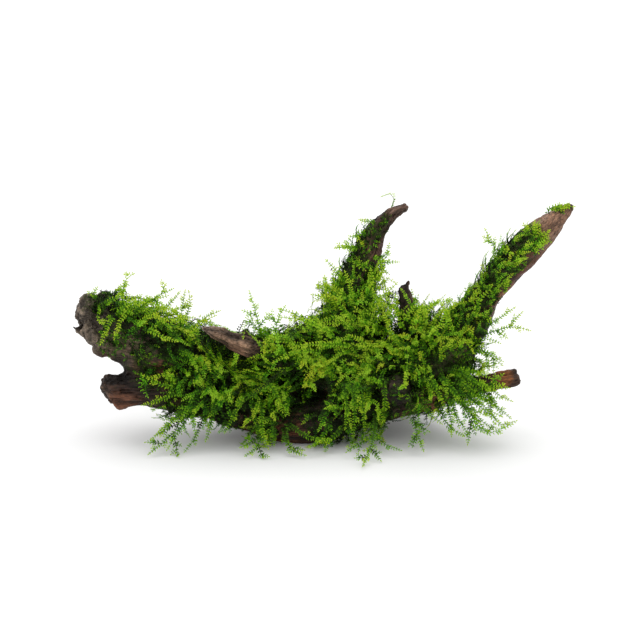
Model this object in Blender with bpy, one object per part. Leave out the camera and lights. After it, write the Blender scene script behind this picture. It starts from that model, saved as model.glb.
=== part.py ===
"""Aquarium moss on a branching piece of driftwood, about 200 mm long, lying on a flat surface.

The wood grew as one shape: its limbs are swept along their centre lines, fused, and then parted at
the main forks. Moss mats follow the wood's own surface, with short shoots fused to them, and each
long trailing shoot is a piece of its own. Pieces that meet keep a small gap.
Frame: +X right, +Y away from the viewer, +Z up, origin on the surface under the middle of the box.
Places and sizes in the tables below are in millimetres, in a frame whose X and Y zero are under the
middle of the trunk. The whole is moved to its own origin at the end.
"""

import math
import random

import bmesh
import bpy
from mathutils import Matrix, Vector, noise

MM = 0.001
GAP = 0.3 * MM
CLEARANCE = 1.2 * GAP
SLIVER = 0.02 * MM
SURFACE_Z = 0.0
SHAPE_SEED = 7
SHARP_ANGLE = math.radians(40)

# Resolution of the solids
WOOD_VOXEL = 1.1 * MM
MOSS_VOXEL = 1.0 * MM
SHOOT_VOXEL = 0.5 * MM
WOOD_FACES = 2200
MOSS_FACES = 2300
SHOOT_FACES = 64
RING_STEP = 2.5 * MM
RING_SIDES = 24

# Surface of the wood: turn of the ridges from ring to ring, lumps per metre, and lumps' share of the
# radius
RIDGE_TWIST = 0.03
WOOD_LUMPS = 110
WOOD_LUMP_SHARE = 0.09
BURL_LUMP_SHARE = 0.25
ROUND_END = (0.45, 0.8, 0.99)

# Centre lines of the limbs as (x, y, z, radius), each from its root to its tip
TRUNK = (
    (-77.5, 2, 37, 10.4),
    (-65, 2, 34, 11.6),
    (-48.5, 3, 28.5, 12.4),
    (-30.5, 4, 23, 13),
    (-8, 5, 20.5, 14),
    (12, 5, 20.5, 15),
    (32, 4, 23.5, 15),
    (47.5, 3, 29.5, 12.8),
    (53.5, 2, 37.5, 10.8),
)
LEFT_ARM = (
    (-65, 2, 35, 11.6),
    (-77, 3, 40, 10.9),
    (-85, 4, 44, 10.6),
    (-90, 5, 47.5, 10.2),
    (-93, 5, 49, 7.5),
)
FRONT_ROOT = (
    (-82, -8, 21.3, 6.7),
    (-74.5, -8, 21.5, 7.3),
    (-64.5, -7, 20, 7),
    (-44, -8, 16, 7),
    (-24, -9, 10, 7.4),
    (-8, -9, 6.6, 7.8),
    (8, -9, 10, 7.6),
    (22, -9, 14.5, 6.8),
    (36, -8, 17, 6),
    (50.5, -7, 20.5, 5),
    (64.5, -6.5, 23, 3.9),
    (79.3, -6, 26.2, 3),
)
SPIKE = (
    (10, 6, 30, 14),
    (11, 8, 44.5, 11.4),
    (13.5, 10, 56, 8.6),
    (16.5, 12, 66, 6.7),
    (19, 13, 75, 5.6),
    (23, 14, 82.5, 4.5),
    (29, 15, 88.5, 3.3),
    (35.4, 16, 91.4, 2.1),
)
SPIKE_FLARE = (
    (10, 3, 35, 9),
    (3, 2, 41, 6.6),
    (-4, 2, 41.5, 5),
    (-11, 2, 37.5, 4.4),
)
HORN = (
    (50.5, 3, 30, 12.2),
    (56, 2, 41, 9.2),
    (62, 0, 51, 7),
    (68, -2, 61, 6.2),
    (74, -4, 70, 6.7),
    (80, -6, 77.5, 6.9),
    (87, -7.5, 85, 6.1),
    (93, -8.5, 91.5, 4),
    (97, -9, 95.5, 1.8),
)
STUB = (
    (37, 2, 36, 4.6),
    (35.5, 0.5, 49, 3.5),
    (34, -0.5, 56.5, 3.1),
    (33.3, -1, 61, 2.7),
)
STUB_THORN = (
    (34, -1, 60, 1.5),
    (35, -1, 64, 0.9),
)
SPLINTER = (
    (-6, -2, 27, 7),
    (-18, -8, 34.5, 6.2),
    (-31.5, -13, 42, 4.1),
    (-39.5, -15, 46, 2.8),
    (-45, -16, 48.8, 1.5),
)
REAR_ROOT_LEFT = (
    (-20, 6, 19, 9),
    (-28, 20, 12, 7.4),
    (-35, 33, 6, 5.8),
    (-41, 44, 2.8, 3.8),
)
REAR_ROOT_RIGHT = (
    (22, 6, 19, 10),
    (31, 22, 12.5, 8),
    (38, 35, 6, 6.3),
    (49, 44.5, 3.6, 4.6),
    (57, 47, 4.4, 2.8),
)
ARM_NUB = (
    (-89, 0, 41, 3.6),
    (-95, -1, 43.4, 2.2),
    (-99, -1, 45.4, 1.1),
)

# Burls and broken stubs fused to the limbs, as (x, y, z, radius)
BURLS = (
    (-90, 1, 54.5, 4.4),
    (-93.5, -2.5, 50.5, 4.2),
    (-91, -5, 44, 4.6),
    (-86.5, -5, 38, 4.2),
    (-94, 8, 47, 4.4),
    (-87, 9.5, 54, 4),
    (-82, -8, 21.3, 6.9),
    (-79.5, -10, 17, 3.4),
    (-75, -5, 31.8, 6),
    (-80, -5, 35.5, 4.8),
    (-28.5, -9, 42, 3),
    (-29.5, -9.5, 45.6, 1.7),
    (30.5, -13, 22.5, 6.6),
    (62.5, -5.5, 45.5, 4.2),
    (84.5, -3, 77, 3),
    (4, 21, 24, 6),
    (-55, 14, 31, 4.6),
)

# Pits in the wood, as (x, y, z) and half sizes
PITS = (
    ((-5, -19.5, 23), (7.5, 6, 3.6)),
    ((-60, -15, 27), (9, 4, 1.8)),
    ((-1, 22, 12), (9, 6, 3.4)),
)

# Where the limbs part from the trunk: a point on the centre line, the way that the limb leaves, and
# half the width of the cut
TRUNK_NODE = "driftwood_trunk"
FORKS = {
    "driftwood_left_arm": ((-79, 2, 41), (-0.94, 0.05, 0.32), 17),
    "driftwood_left_root": ((-74.5, -8, 20), (-1, 0, 0), 9),
    "driftwood_middle_spike": ((11, 8, 47), (0.1, 0.1, 1), 16),
    "driftwood_right_horn": ((58.5, 1, 45.5), (0.42, -0.12, 0.88), 15),
    "driftwood_right_root": ((52, -7, 21), (0.98, 0.03, 0.2), 8.5),
    "driftwood_stub": ((36, 0.7, 47), (-0.15, -0.12, 0.97), 6),
    "driftwood_splinter": ((-20, -8.7, 35.5), (-0.8, -0.3, 0.5), 9),
    "driftwood_rear_root_left": ((-29.5, 22.5, 11), (-0.5, 0.8, -0.3), 11),
    "driftwood_rear_root_right": ((32.5, 24.5, 11.4), (0.45, 0.8, -0.35), 12),
}
FORK_REACH = 90 * MM
BLOCK = 200 * MM
BROWN_LIMBS = ("driftwood_right_horn", "driftwood_splinter", "driftwood_right_root")

# Moss cover as (x, y, z), reach and thickness: a patch is thickest at its middle
MOSS_PATCHES = (
    # The left arm's back
    ((-84, -3, 56), 11, 4),
    ((-73, -5, 50.5), 12, 4.4),
    ((-62, -5, 46), 13, 4.6),
    ((-72, 7, 50), 11, 3.6),
    # The trunk's front and back, from left to right
    ((-50, -7, 38), 14, 5),
    ((-46, -13, 28), 15, 5.4),
    ((-52, -16, 18), 11, 4),
    ((-34, -14, 30), 14, 5),
    ((-32, -18, 18), 14, 5),
    ((-18, -17, 20), 14, 5),
    ((-15, -11, 35), 12, 4.4),
    ((-18, 2, 36), 15, 4.4),
    ((-4, -12, 34), 15, 5),
    ((4, -18, 13), 12, 4.6),
    ((8, -15, 28), 14, 5.2),
    ((14, -12, 38), 14, 4.6),
    ((18, -17, 18), 13, 5),
    ((28, -11, 37), 14, 5),
    ((40, -12, 33), 15, 5),
    ((45, -13, 22), 12, 4.6),
    ((54, -8, 34), 13, 4.4),
    ((41, 4, 42), 13, 4.2),
    ((56, -10, 22), 9, 3.6),
    ((-40, 12, 36), 13, 3.8),
    ((-14, 20, 26), 14, 4.4),
    ((8, 24, 30), 13, 4),
    ((30, 20, 30), 14, 4.4),
    ((46, 14, 32), 12, 3.6),
    # The middle spike
    ((3, 4, 54), 11, 3),
    ((14, 0, 52), 12, 3),
    ((11, 6, 67), 9, 2.4),
    ((20, 5, 60), 8, 2.2),
    ((16, 8, 77), 7, 2),
    ((20, 20, 58), 11, 2.6),
    # The right horn
    ((58, -7, 46), 11, 3.4),
    ((61, -7, 56), 10, 3),
    ((66, -9, 67), 10, 2.8),
    ((73, -11, 76), 9, 2.6),
    ((81, -13, 82), 7.5, 2.2),
    ((60, 8, 52), 10, 2.6),
)
# Wood that the moss leaves bare, as (x, y, z) and reach
BARE_SPOTS = (
    ((-24, -11, 38), 6),
    ((-32, -14, 42), 8),
    ((-41, -16, 47), 8),
    ((-5, -20, 23), 6),
    ((31, -18, 23), 7),
    ((35, 0, 56), 6),
)
EDGE_DEPTH = 1.2 * MM
LUMP_SIZE = 5 * MM
LUMP_SHARE = 0.6

# Short shoots fused to the mats
SHORT_SHOOTS = 80
SHORT_SPACING = 5.5 * MM
SHORT_LENGTH = (4.5 * MM, 8 * MM)
SHORT_BASE = 2 * MM
SHORT_TIP = 0.9 * MM
SHORT_SIDES = 5
LEAST_DEPTH = 1.8 * MM
LOWEST_BASE = 7 * MM

# Where the trunk's mat is parted, as x
TRUNK_MAT_SPLITS = (-28, 20)
LEAST_PATCH = 30 * MM**3

# Long shoots: points of the stem, then its branches as (share along, side, length)
LONG_SHOOTS = {
    "shoot_left_arm_top": (
        ((-79, -4, 54), (-79, -4.5, 62), (-77.5, -5, 69)),
        ((0.4, 1, 5), (0.65, -1, 3.5)),
    ),
    "shoot_left_arm_rise": (
        ((-74, -5, 52), (-67, -6, 58), (-58.5, -7, 62.5)),
        ((0.5, 1, 5), (0.75, -1, 4)),
    ),
    "shoot_left_saddle": (
        ((-56, -5, 44), (-55, -6, 53), (-53.5, -7, 61.5)),
        ((0.35, -1, 6), (0.6, 1, 4)),
    ),
    "shoot_saddle_reaching": (
        ((-52, -7, 44), (-46, -8, 51), (-40, -9, 54)),
        ((0.5, 1, 5),),
    ),
    "shoot_middle_top": (
        ((-23, -8, 40), (-25, -9, 52), (-27.8, -10, 62)),
        ((0.35, 1, 7), (0.55, -1, 6)),
    ),
    "shoot_middle_leaning": (
        ((-18, -8, 41), (-17, -9, 50), (-14, -10, 56)),
        ((0.5, -1, 6),),
    ),
    "shoot_left_trailing": (
        ((-54, -16, 17), (-57, -23, 9), (-67, -30, 1.8)),
        ((0.3, 1, 10), (0.5, -1, 11), (0.75, 1, 6)),
    ),
    "shoot_centre_trailing": (
        ((-22, -20, 11), (-24, -27, 4.5), (-29, -32, 1.6)),
        ((0.35, 1, 9), (0.6, -1, 8)),
    ),
    "shoot_centre_surface": (
        ((-14, -21, 8), (-12, -28, 3), (-6, -32, 1.8)),
        ((0.5, -1, 6),),
    ),
    "shoot_front_trailing": (
        ((22, -20, 13), (20, -31, 5), (16.5, -44, 1.6)),
        ((0.3, 1, 12), (0.55, -1, 6), (0.75, 1, 5)),
    ),
    "shoot_front_right_trailing": (
        ((36, -18, 18), (38, -25, 9), (40.5, -29, 3)),
        ((0.4, -1, 6), (0.65, 1, 5)),
    ),
    "shoot_right_trailing": (
        ((54, -14, 24), (58, -22, 15), (66, -27, 9), (75, -25, 12)),
        ((0.25, -1, 9), (0.45, 1, 9), (0.7, -1, 5)),
    ),
    "shoot_right_low": (
        ((56, -12, 28), (64, -16, 25), (74.5, -18, 25)),
        ((0.4, 1, 7), (0.6, -1, 8)),
    ),
    "shoot_right_side": (
        ((62, -5, 38), (67, -8, 36), (72.5, -9, 32)),
        ((0.4, 1, 7), (0.65, 1, 5)),
    ),
    "shoot_right_reaching": (
        ((62, -5, 46), (73, -9, 50), (82.5, -11, 54)),
        ((0.35, 1, 7), (0.6, -1, 8)),
    ),
    "shoot_horn": (
        ((70, -8.5, 77), (67.5, -9, 82), (64.8, -9.5, 87)),
        ((0.5, -1, 3),),
    ),
    "shoot_spike_left": (
        ((7, 5, 55.5), (2.5, 3, 59.5), (-0.8, 2, 61.5)),
        ((0.4, -1, 7), (0.6, 1, 5)),
    ),
    "shoot_spike_top": (
        ((14, 9, 75), (10, 7, 76.3), (6.8, 6, 76.6)),
        ((0.4, 1, 3),),
    ),
    "shoot_rear": (
        ((2, 24, 26), (0, 32, 14), (-4, 39, 5)),
        ((0.4, 1, 8), (0.65, -1, 6)),
    ),
}
LONG_HALF_WIDTH = 1.4 * MM
LONG_HALF_THICKNESS = 0.85 * MM
LONG_STEP = 2.4 * MM
LONG_SIDES = 8
BRANCH_LEAN = math.radians(50)
BRANCH_DROOP = 0.08
LOWEST_TIP = 1.6
TIP_SHARE = 0.45
FACING = Vector((0, -0.7, 0.7))

# Finishes as linear RGB and roughness
FINISHES = {
    "dark_wood": ((0.045, 0.03, 0.024), 0.5),
    "brown_wood": ((0.11, 0.055, 0.033), 0.5),
    "moss_mat": ((0.07, 0.17, 0.012), 0.7),
    "moss_shoot": ((0.19, 0.36, 0.02), 0.65),
}


def mm(values):
    return Vector(values) * MM


def clear_scene():
    for obj in list(bpy.data.objects):
        bpy.data.objects.remove(obj)


def finish_material(name):
    material = bpy.data.materials.get(name)
    if material:
        return material
    colour, roughness = FINISHES[name]
    material = bpy.data.materials.new(name)
    material.use_nodes = True
    shader = material.node_tree.nodes["Principled BSDF"]
    shader.inputs["Base Color"].default_value = (*colour, 1)
    shader.inputs["Roughness"].default_value = roughness
    shader.inputs["Metallic"].default_value = 0
    return material


def mesh_from(bm, name):
    mesh = bpy.data.meshes.new(name)
    bmesh.ops.recalc_face_normals(bm, faces=bm.faces)
    bm.to_mesh(mesh)
    bm.free()
    return mesh


def add_object(name, mesh):
    obj = bpy.data.objects.new(name, mesh)
    bpy.context.scene.collection.objects.link(obj)
    return obj


def add_node(name, mesh, finish):
    mesh.name = name
    mesh.materials.clear()
    mesh.materials.append(finish_material(finish))
    mesh.shade_smooth()
    mesh.set_sharp_from_angle(angle=SHARP_ANGLE)
    return add_object(name, mesh)


def take_mesh(obj):
    """The object's mesh with its modifiers applied. The object itself is removed."""
    bpy.context.view_layer.update()
    graph = bpy.context.evaluated_depsgraph_get()
    mesh = bpy.data.meshes.new_from_object(obj.evaluated_get(graph))
    bpy.data.objects.remove(obj)
    return mesh


def boolean(mesh, cutter, operation):
    body = add_object("body", mesh.copy())
    tool = add_object("tool", cutter.copy())
    step = body.modifiers.new("step", "BOOLEAN")
    step.operation = operation
    step.solver = "EXACT"
    step.object = tool
    made = take_mesh(body)
    bpy.data.objects.remove(tool)
    return made


def joined(meshes, name):
    bm = bmesh.new()
    for mesh in meshes:
        bm.from_mesh(mesh)
    made = bpy.data.meshes.new(name)
    bm.to_mesh(made)
    bm.free()
    return made


def fused(mesh, voxel, smoothing):
    """One closed surface round everything in the mesh."""
    obj = add_object("fused", mesh)
    remesh = obj.modifiers.new("fuse", "REMESH")
    remesh.mode = "VOXEL"
    remesh.voxel_size = voxel
    smooth = obj.modifiers.new("smooth", "SMOOTH")
    smooth.factor = 0.5
    smooth.iterations = smoothing
    return take_mesh(obj)


def coarse(mesh, faces):
    """The mesh brought down to about that many triangles."""
    obj = add_object("coarse", mesh.copy())
    step = obj.modifiers.new("coarse", "DECIMATE")
    step.use_collapse_triangulate = True
    step.ratio = min(1, faces / sum(len(p.vertices) - 2 for p in mesh.polygons))
    return take_mesh(obj)


def smooth_line(stations, step):
    """Points (place, radius) on a smooth curve through stations of (x, y, z, radius)."""
    knots = [(mm(s[:3]), s[3] * MM) for s in stations]
    first = (2 * knots[0][0] - knots[1][0], knots[0][1])
    last = (2 * knots[-1][0] - knots[-2][0], knots[-1][1])
    knots = [first, *knots, last]
    line = []
    for (p0, r0), (p1, r1), (p2, r2), (p3, r3) in zip(knots, knots[1:], knots[2:], knots[3:]):
        count = max(2, round((p2 - p1).length / step))
        for k in range(count):
            t = k / count
            w0 = -0.5 * t + t * t - 0.5 * t**3
            w1 = 1 - 2.5 * t * t + 1.5 * t**3
            w2 = 0.5 * t + 2 * t * t - 1.5 * t**3
            w3 = -0.5 * t * t + 0.5 * t**3
            place = w0 * p0 + w1 * p1 + w2 * p2 + w3 * p3
            line.append((place, w0 * r0 + w1 * r1 + w2 * r2 + w3 * r3))
    line.append(knots[-2])
    return line


def ring_frames(line):
    """(forward, side, up) at each point of a line, each turned as little as possible from the last."""
    frames = []
    side = None
    for i in range(len(line)):
        ahead = line[min(i + 1, len(line) - 1)][0]
        behind = line[max(i - 1, 0)][0]
        forward = (ahead - behind).normalized()
        if side is None:
            level = Vector((0, 0, 1)) if abs(forward.z) < 0.8 else Vector((0, 1, 0))
            side = forward.cross(level)
        side = (side - forward * side.dot(forward)).normalized()
        frames.append((forward, side, forward.cross(side)))
    return frames


def skin_rings(bm, rings):
    """Side faces between rings of vertices, and a fan over each end."""
    for low, high in zip(rings, rings[1:]):
        for k in range(len(low)):
            n = (k + 1) % len(low)
            bm.faces.new((low[k], low[n], high[n], high[k]))
    for ring in (rings[0], rings[-1]):
        middle = bm.verts.new(sum((v.co for v in ring), Vector()) / len(ring))
        for k in range(len(ring)):
            bm.faces.new((ring[k], ring[(k + 1) % len(ring)], middle))


def turns(count):
    return [2 * math.pi * k / count for k in range(count)]


def limb(stations, ridges, ridge_depth, seed, rounded=True):
    """A swept limb with ridged and lumpy sides, as weathered roots have."""
    line = smooth_line(stations, RING_STEP)
    frames = ring_frames(line)
    if rounded:
        (tip, radius), forward = line[-1], frames[-1][0]
        for share in ROUND_END:
            line.append((tip + forward * radius * share, radius * math.sqrt(1 - share * share)))
            frames.append(frames[-1])
    bm = bmesh.new()
    rings = []
    for i, ((place, radius), (_, side, up)) in enumerate(zip(line, frames)):
        ring = []
        for angle in turns(RING_SIDES):
            way = side * math.cos(angle) + up * math.sin(angle)
            groove = (1 - abs(math.sin(ridges * (angle + RIDGE_TWIST * i) / 2 + seed))) ** 2
            lump = noise.noise((place + way * radius) * WOOD_LUMPS + Vector((seed, 0, 0)))
            swell = 1 - ridge_depth * groove + WOOD_LUMP_SHARE * lump
            ring.append(bm.verts.new(place + way * radius * swell))
        rings.append(ring)
    skin_rings(bm, rings)
    return mesh_from(bm, "limb")


def burl(place, radius):
    bm = bmesh.new()
    bmesh.ops.create_icosphere(bm, subdivisions=3, radius=radius)
    for v in bm.verts:
        lump = noise.noise(v.co / radius + place / radius)
        v.co = place + v.co * (1 + BURL_LUMP_SHARE * lump)
    return mesh_from(bm, "burl")


def pit(place, half_sizes):
    bm = bmesh.new()
    bmesh.ops.create_icosphere(bm, subdivisions=2, radius=1)
    bmesh.ops.transform(bm, verts=bm.verts, matrix=Matrix.LocRotScale(place, None, half_sizes))
    return mesh_from(bm, "pit")


def slab(place, forward, half_width, length):
    """A box that starts at place and reaches along forward."""
    turn = forward.to_track_quat("Z", "Y")
    size = Vector((2 * half_width, 2 * half_width, length))
    matrix = Matrix.LocRotScale(place + forward * length / 2, turn, size)
    bm = bmesh.new()
    bmesh.ops.create_cube(bm, size=1, matrix=matrix)
    return mesh_from(bm, "slab")


def bodies(mesh):
    """(volume, mesh) of each closed body, largest first, without the slivers that Booleans leave."""
    bm = bmesh.new()
    bm.from_mesh(mesh)
    bmesh.ops.triangulate(bm, faces=bm.faces)
    bmesh.ops.dissolve_degenerate(bm, edges=bm.edges, dist=SLIVER)
    bmesh.ops.remove_doubles(bm, verts=bm.verts, dist=SLIVER)
    bmesh.ops.triangulate(bm, faces=bm.faces)
    left = set(bm.faces)
    found = []
    while left:
        edge_of_body = [left.pop()]
        body = set(edge_of_body)
        while edge_of_body:
            for edge in edge_of_body.pop().edges:
                for face in edge.link_faces if edge.is_manifold else ():
                    if face not in body:
                        body.add(face)
                        edge_of_body.append(face)
        left -= body
        piece = bmesh.new()
        copies = {v: piece.verts.new(v.co) for v in {v for face in body for v in face.verts}}
        for face in body:
            corners = [copies[v] for v in face.verts]
            if not piece.faces.get(corners):
                piece.faces.new(corners)
        found.append((piece.calc_volume(), mesh_from(piece, "body")))
    bm.free()
    return sorted(found, key=lambda item: -item[0])


def largest(mesh):
    return bodies(mesh)[0][1]


def grown(mesh, amounts):
    """The mesh with each vertex moved out along its normal."""
    made = mesh.copy()
    for v, normal, amount in zip(made.vertices, mesh.vertex_normals, amounts):
        v.co = v.co + normal.vector * amount
    return made


def clearance(mesh):
    """The mesh grown by a little more than the gap, because slanted faces grow by less than their corners."""
    return grown(mesh, [CLEARANCE] * len(mesh.vertices))


def wood_shapes():
    shapes = [
        limb(TRUNK, ridges=9, ridge_depth=0.08, seed=1),
        limb(LEFT_ARM, ridges=9, ridge_depth=0.1, seed=2),
        limb(FRONT_ROOT, ridges=7, ridge_depth=0.08, seed=3, rounded=False),
        limb(SPIKE, ridges=7, ridge_depth=0.16, seed=4, rounded=False),
        limb(SPIKE_FLARE, ridges=5, ridge_depth=0.12, seed=5),
        limb(HORN, ridges=6, ridge_depth=0.09, seed=6),
        limb(STUB, ridges=5, ridge_depth=0.1, seed=7),
        limb(STUB_THORN, ridges=3, ridge_depth=0, seed=8),
        limb(SPLINTER, ridges=8, ridge_depth=0.16, seed=9),
        limb(REAR_ROOT_LEFT, ridges=6, ridge_depth=0.09, seed=10),
        limb(REAR_ROOT_RIGHT, ridges=6, ridge_depth=0.09, seed=11),
        limb(ARM_NUB, ridges=4, ridge_depth=0.1, seed=12),
    ]
    return shapes + [burl(mm(place), radius * MM) for *place, radius in BURLS]


def below_surface(margin):
    """A block of all that lies less than that margin above the surface."""
    return slab(Vector((0, 0, SURFACE_Z + margin)), Vector((0, 0, -1)), BLOCK, BLOCK)


def wood_bodies():
    """The wood as a fine surface, and as the solid that is cut into nodes."""
    fine = fused(joined(wood_shapes(), "wood"), WOOD_VOXEL, 2)
    solid = coarse(fine, WOOD_FACES)
    for place, half_sizes in PITS:
        solid = boolean(solid, pit(mm(place), mm(half_sizes)), "DIFFERENCE")
    return fine, largest(boolean(solid, below_surface(0), "DIFFERENCE"))


def fork_slab(name, back=0):
    """The box round a limb beyond its fork. It starts that much before the fork."""
    place, forward, half_width = FORKS[name]
    forward = Vector(forward).normalized()
    return slab(mm(place) - forward * back, forward, half_width * MM, FORK_REACH)


def make_wood(solid):
    trunk = solid
    for name in FORKS:
        finish = "brown_wood" if name in BROWN_LIMBS else "dark_wood"
        add_node(name, largest(boolean(solid, fork_slab(name), "INTERSECT")), finish)
        trunk = boolean(trunk, fork_slab(name, back=GAP), "DIFFERENCE")
    add_node(TRUNK_NODE, largest(trunk), "dark_wood")


def moss_depth(place):
    """Thickness of the moss over a point of the wood, below 0 where there is none."""
    depth = -EDGE_DEPTH
    for middle, reach, thickness in MOSS_PATCHES:
        share = (place - mm(middle)).length / (reach * MM)
        if share < 1:
            cover = (thickness * MM + EDGE_DEPTH) * math.sqrt(1 - share * share)
            depth = max(depth, cover - EDGE_DEPTH)
    for middle, reach in BARE_SPOTS:
        share = (place - mm(middle)).length / (reach * MM)
        if share < 1:
            depth = min(depth, -EDGE_DEPTH * (1 - share))
    if depth <= 0:
        return depth
    return depth * (1 + LUMP_SHARE * noise.noise(place / LUMP_SIZE))


def short_shoot(base, way, length, bend):
    """A short bent shoot as a tapered tube, rooted inside the mat."""
    side = way.orthogonal().normalized()
    up = way.cross(side)
    bm = bmesh.new()
    rings = []
    for share in (-0.25, 0.35, 0.75, 1):
        along = max(share, 0)
        centre = base + way * length * share + bend * length * along**2
        radius = SHORT_BASE + (SHORT_TIP - SHORT_BASE) * along
        spokes = [side * math.cos(a) + up * math.sin(a) for a in turns(SHORT_SIDES)]
        rings.append([bm.verts.new(centre + spoke * radius) for spoke in spokes])
    skin_rings(bm, rings)
    return mesh_from(bm, "short_shoot")


def short_shoots(skin, depths):
    """Shoots that stand on the upper mats and hang from the sides, spread evenly."""
    rng = random.Random(SHAPE_SEED)
    spots = [i for i, depth in enumerate(depths) if depth > LEAST_DEPTH]
    rng.shuffle(spots)
    bases = []
    shoots = []
    for i in spots:
        place = skin.vertices[i].co.copy()
        normal = skin.vertex_normals[i].vector
        if normal.z < -0.5 or place.z < LOWEST_BASE:
            continue
        if any((place - base).length < SHORT_SPACING for base in bases):
            continue
        lean = Vector((rng.uniform(-1, 1), rng.uniform(-0.4, 0.4), rng.uniform(-0.5, 0.5)))
        way = (normal + lean).normalized()
        bend = Vector((0, 0, 0.15 if normal.z > 0.35 else -0.4))
        bases.append(place)
        shoots.append(short_shoot(place, way, rng.uniform(*SHORT_LENGTH), bend))
        if len(shoots) == SHORT_SHOOTS:
            break
    return shoots


def moss_hull(fine):
    """The wood's fine surface raised by the moss and sunk elsewhere, with the short shoots fused on."""
    depths = [moss_depth(v.co) for v in fine.vertices]
    skin = grown(fine, depths)
    return fused(joined([skin, *short_shoots(skin, depths)], "moss"), MOSS_VOXEL, 1)


def make_mats(hull, wood_room):
    mats = boolean(hull, wood_room, "DIFFERENCE")
    mats = boolean(mats, below_surface(GAP), "DIFFERENCE")
    regions = {}
    for limb_name in ("left_arm", "middle_spike", "right_horn"):
        fork = "driftwood_" + limb_name
        regions["moss_" + limb_name] = boolean(mats, fork_slab(fork), "INTERSECT")
        mats = boolean(mats, fork_slab(fork, back=GAP), "DIFFERENCE")
    edges = (-BLOCK, *(x * MM for x in TRUNK_MAT_SPLITS), BLOCK)
    for part, low, high in zip(("left", "centre", "right"), edges, edges[1:]):
        block = slab(Vector((low + GAP / 2, 0, 0)), Vector((1, 0, 0)), BLOCK, high - low - GAP)
        regions["moss_trunk_" + part] = boolean(mats, block, "INTERSECT")
    for name, region in regions.items():
        found = [mesh for volume, mesh in bodies(region) if volume > LEAST_PATCH]
        for number, mesh in enumerate(found):
            add_node(name if number == 0 else f"{name}_patch_{number}", mesh, "moss_mat")


def flat_tube(points):
    """A tapered flat tube through points of (x, y, z), its broad side turned up and to the viewer."""
    line = smooth_line([(*p, 0) for p in points], LONG_STEP)
    bm = bmesh.new()
    rings = []
    for i, ((place, _), (forward, _, _)) in enumerate(zip(line, ring_frames(line))):
        across = forward.cross(FACING).normalized()
        thick = across.cross(forward)
        share = i / (len(line) - 1)
        taper = 1 - (1 - TIP_SHARE) * share**2
        ring = []
        for angle in turns(LONG_SIDES):
            wide = across * math.cos(angle) * LONG_HALF_WIDTH * taper
            ring.append(bm.verts.new(place + wide + thick * math.sin(angle) * LONG_HALF_THICKNESS))
        rings.append(ring)
    skin_rings(bm, rings)
    return mesh_from(bm, "stem")


def long_shoot(points, branches):
    """A trailing shoot with its side branches, fused."""
    line = smooth_line([(*p, 0) for p in points], LONG_STEP)
    frames = ring_frames(line)
    shapes = [flat_tube(points)]
    for share, side, length in branches:
        at = round(share * (len(line) - 1))
        place, forward = line[at][0] / MM, frames[at][0]
        across = forward.cross(FACING).normalized() * side
        way = forward * math.cos(BRANCH_LEAN) + across * math.sin(BRANCH_LEAN)
        middle = place + way * length / 2
        end = place + (way + Vector((0, 0, -BRANCH_DROOP))) * length
        for point in (middle, end):
            point.z = max(point.z, LOWEST_TIP)
        shapes.append(flat_tube([tuple(p) for p in (place, middle, end)]))
    return coarse(fused(joined(shapes, "shoot"), SHOOT_VOXEL, 2), SHOOT_FACES)


def make_long_shoots(hull, wood_room):
    moss_room = clearance(hull)
    for name, (points, branches) in LONG_SHOOTS.items():
        shoot = boolean(long_shoot(points, branches), moss_room, "DIFFERENCE")
        add_node(name, largest(boolean(shoot, wood_room, "DIFFERENCE")), "moss_shoot")


def place_on_origin():
    """Moves every node so that the origin is under the middle of the whole box."""
    nodes = list(bpy.data.objects)
    corners = [v.co for node in nodes for v in node.data.vertices]
    low = [min(c[axis] for c in corners) for axis in range(2)]
    high = [max(c[axis] for c in corners) for axis in range(2)]
    offset = Vector((-(low[0] + high[0]) / 2, -(low[1] + high[1]) / 2, 0))
    for node in nodes:
        node.data.transform(Matrix.Translation(offset))


def main():
    clear_scene()
    fine, solid = wood_bodies()
    make_wood(solid)
    wood_room = clearance(solid)
    hull = coarse(moss_hull(fine), MOSS_FACES)
    make_mats(hull, wood_room)
    make_long_shoots(hull, wood_room)
    place_on_origin()


main()
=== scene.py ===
"""Looks of the aquarium moss on driftwood: fine wood with grain, and moss fronds leaf by leaf.

Tables are in millimetres, in the drawing frame of the part: +X right, +Y away from the viewer, +Z up,
zero under the middle of the trunk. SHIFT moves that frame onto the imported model's origin.
"""

import math

import bmesh
import bpy
import numpy as np
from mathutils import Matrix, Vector, noise
from mathutils.bvhtree import BVHTree


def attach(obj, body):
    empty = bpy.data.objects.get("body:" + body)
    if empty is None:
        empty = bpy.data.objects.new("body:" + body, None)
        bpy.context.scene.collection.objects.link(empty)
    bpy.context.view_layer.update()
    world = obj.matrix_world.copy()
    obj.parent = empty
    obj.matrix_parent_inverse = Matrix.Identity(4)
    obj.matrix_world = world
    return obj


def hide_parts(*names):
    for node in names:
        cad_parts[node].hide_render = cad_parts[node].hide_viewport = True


MM = 0.001
SHIFT = (0.9, -2.83, 0)
SEED = 11

# Camera and light
CAMERA_TARGET = (0, 0, 48)
CAMERA_DISTANCE = 750
CAMERA_ELEVATION = math.radians(15)
CAMERA_LENS = 105
CAMERA_SENSOR = 36
FLOOR_HALF = 12000
WORLD_STRENGTH = 1.05
SUN_STRENGTH = 1.5
FLOOR_SHADE = 0.8
FLOOR_ROUGHNESS = 0.9
SUN_ANGLE = math.radians(65)
SUN_TURN = (math.radians(-24), math.radians(-6), 0)

# The fine wood: its mesh, the rings that sweep its limbs, and the lumps on limbs and burls
WOOD_VOXEL = 0.6
WOOD_SMOOTHING = 5
SMOOTHING_FACTOR = 0.5
RING_STEP = 2.5
RING_SIDES = 24
RIDGE_TWIST = 0.03
WOOD_LUMPS = 0.11
WOOD_LUMP_SHARE = 0.09
BURL_LUMP_SHARE = 0.25
BURL_DIVISIONS = 3
# Rings of a round end, as shares of its radius
ROUND_END = (0.45, 0.8, 0.99)
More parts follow.
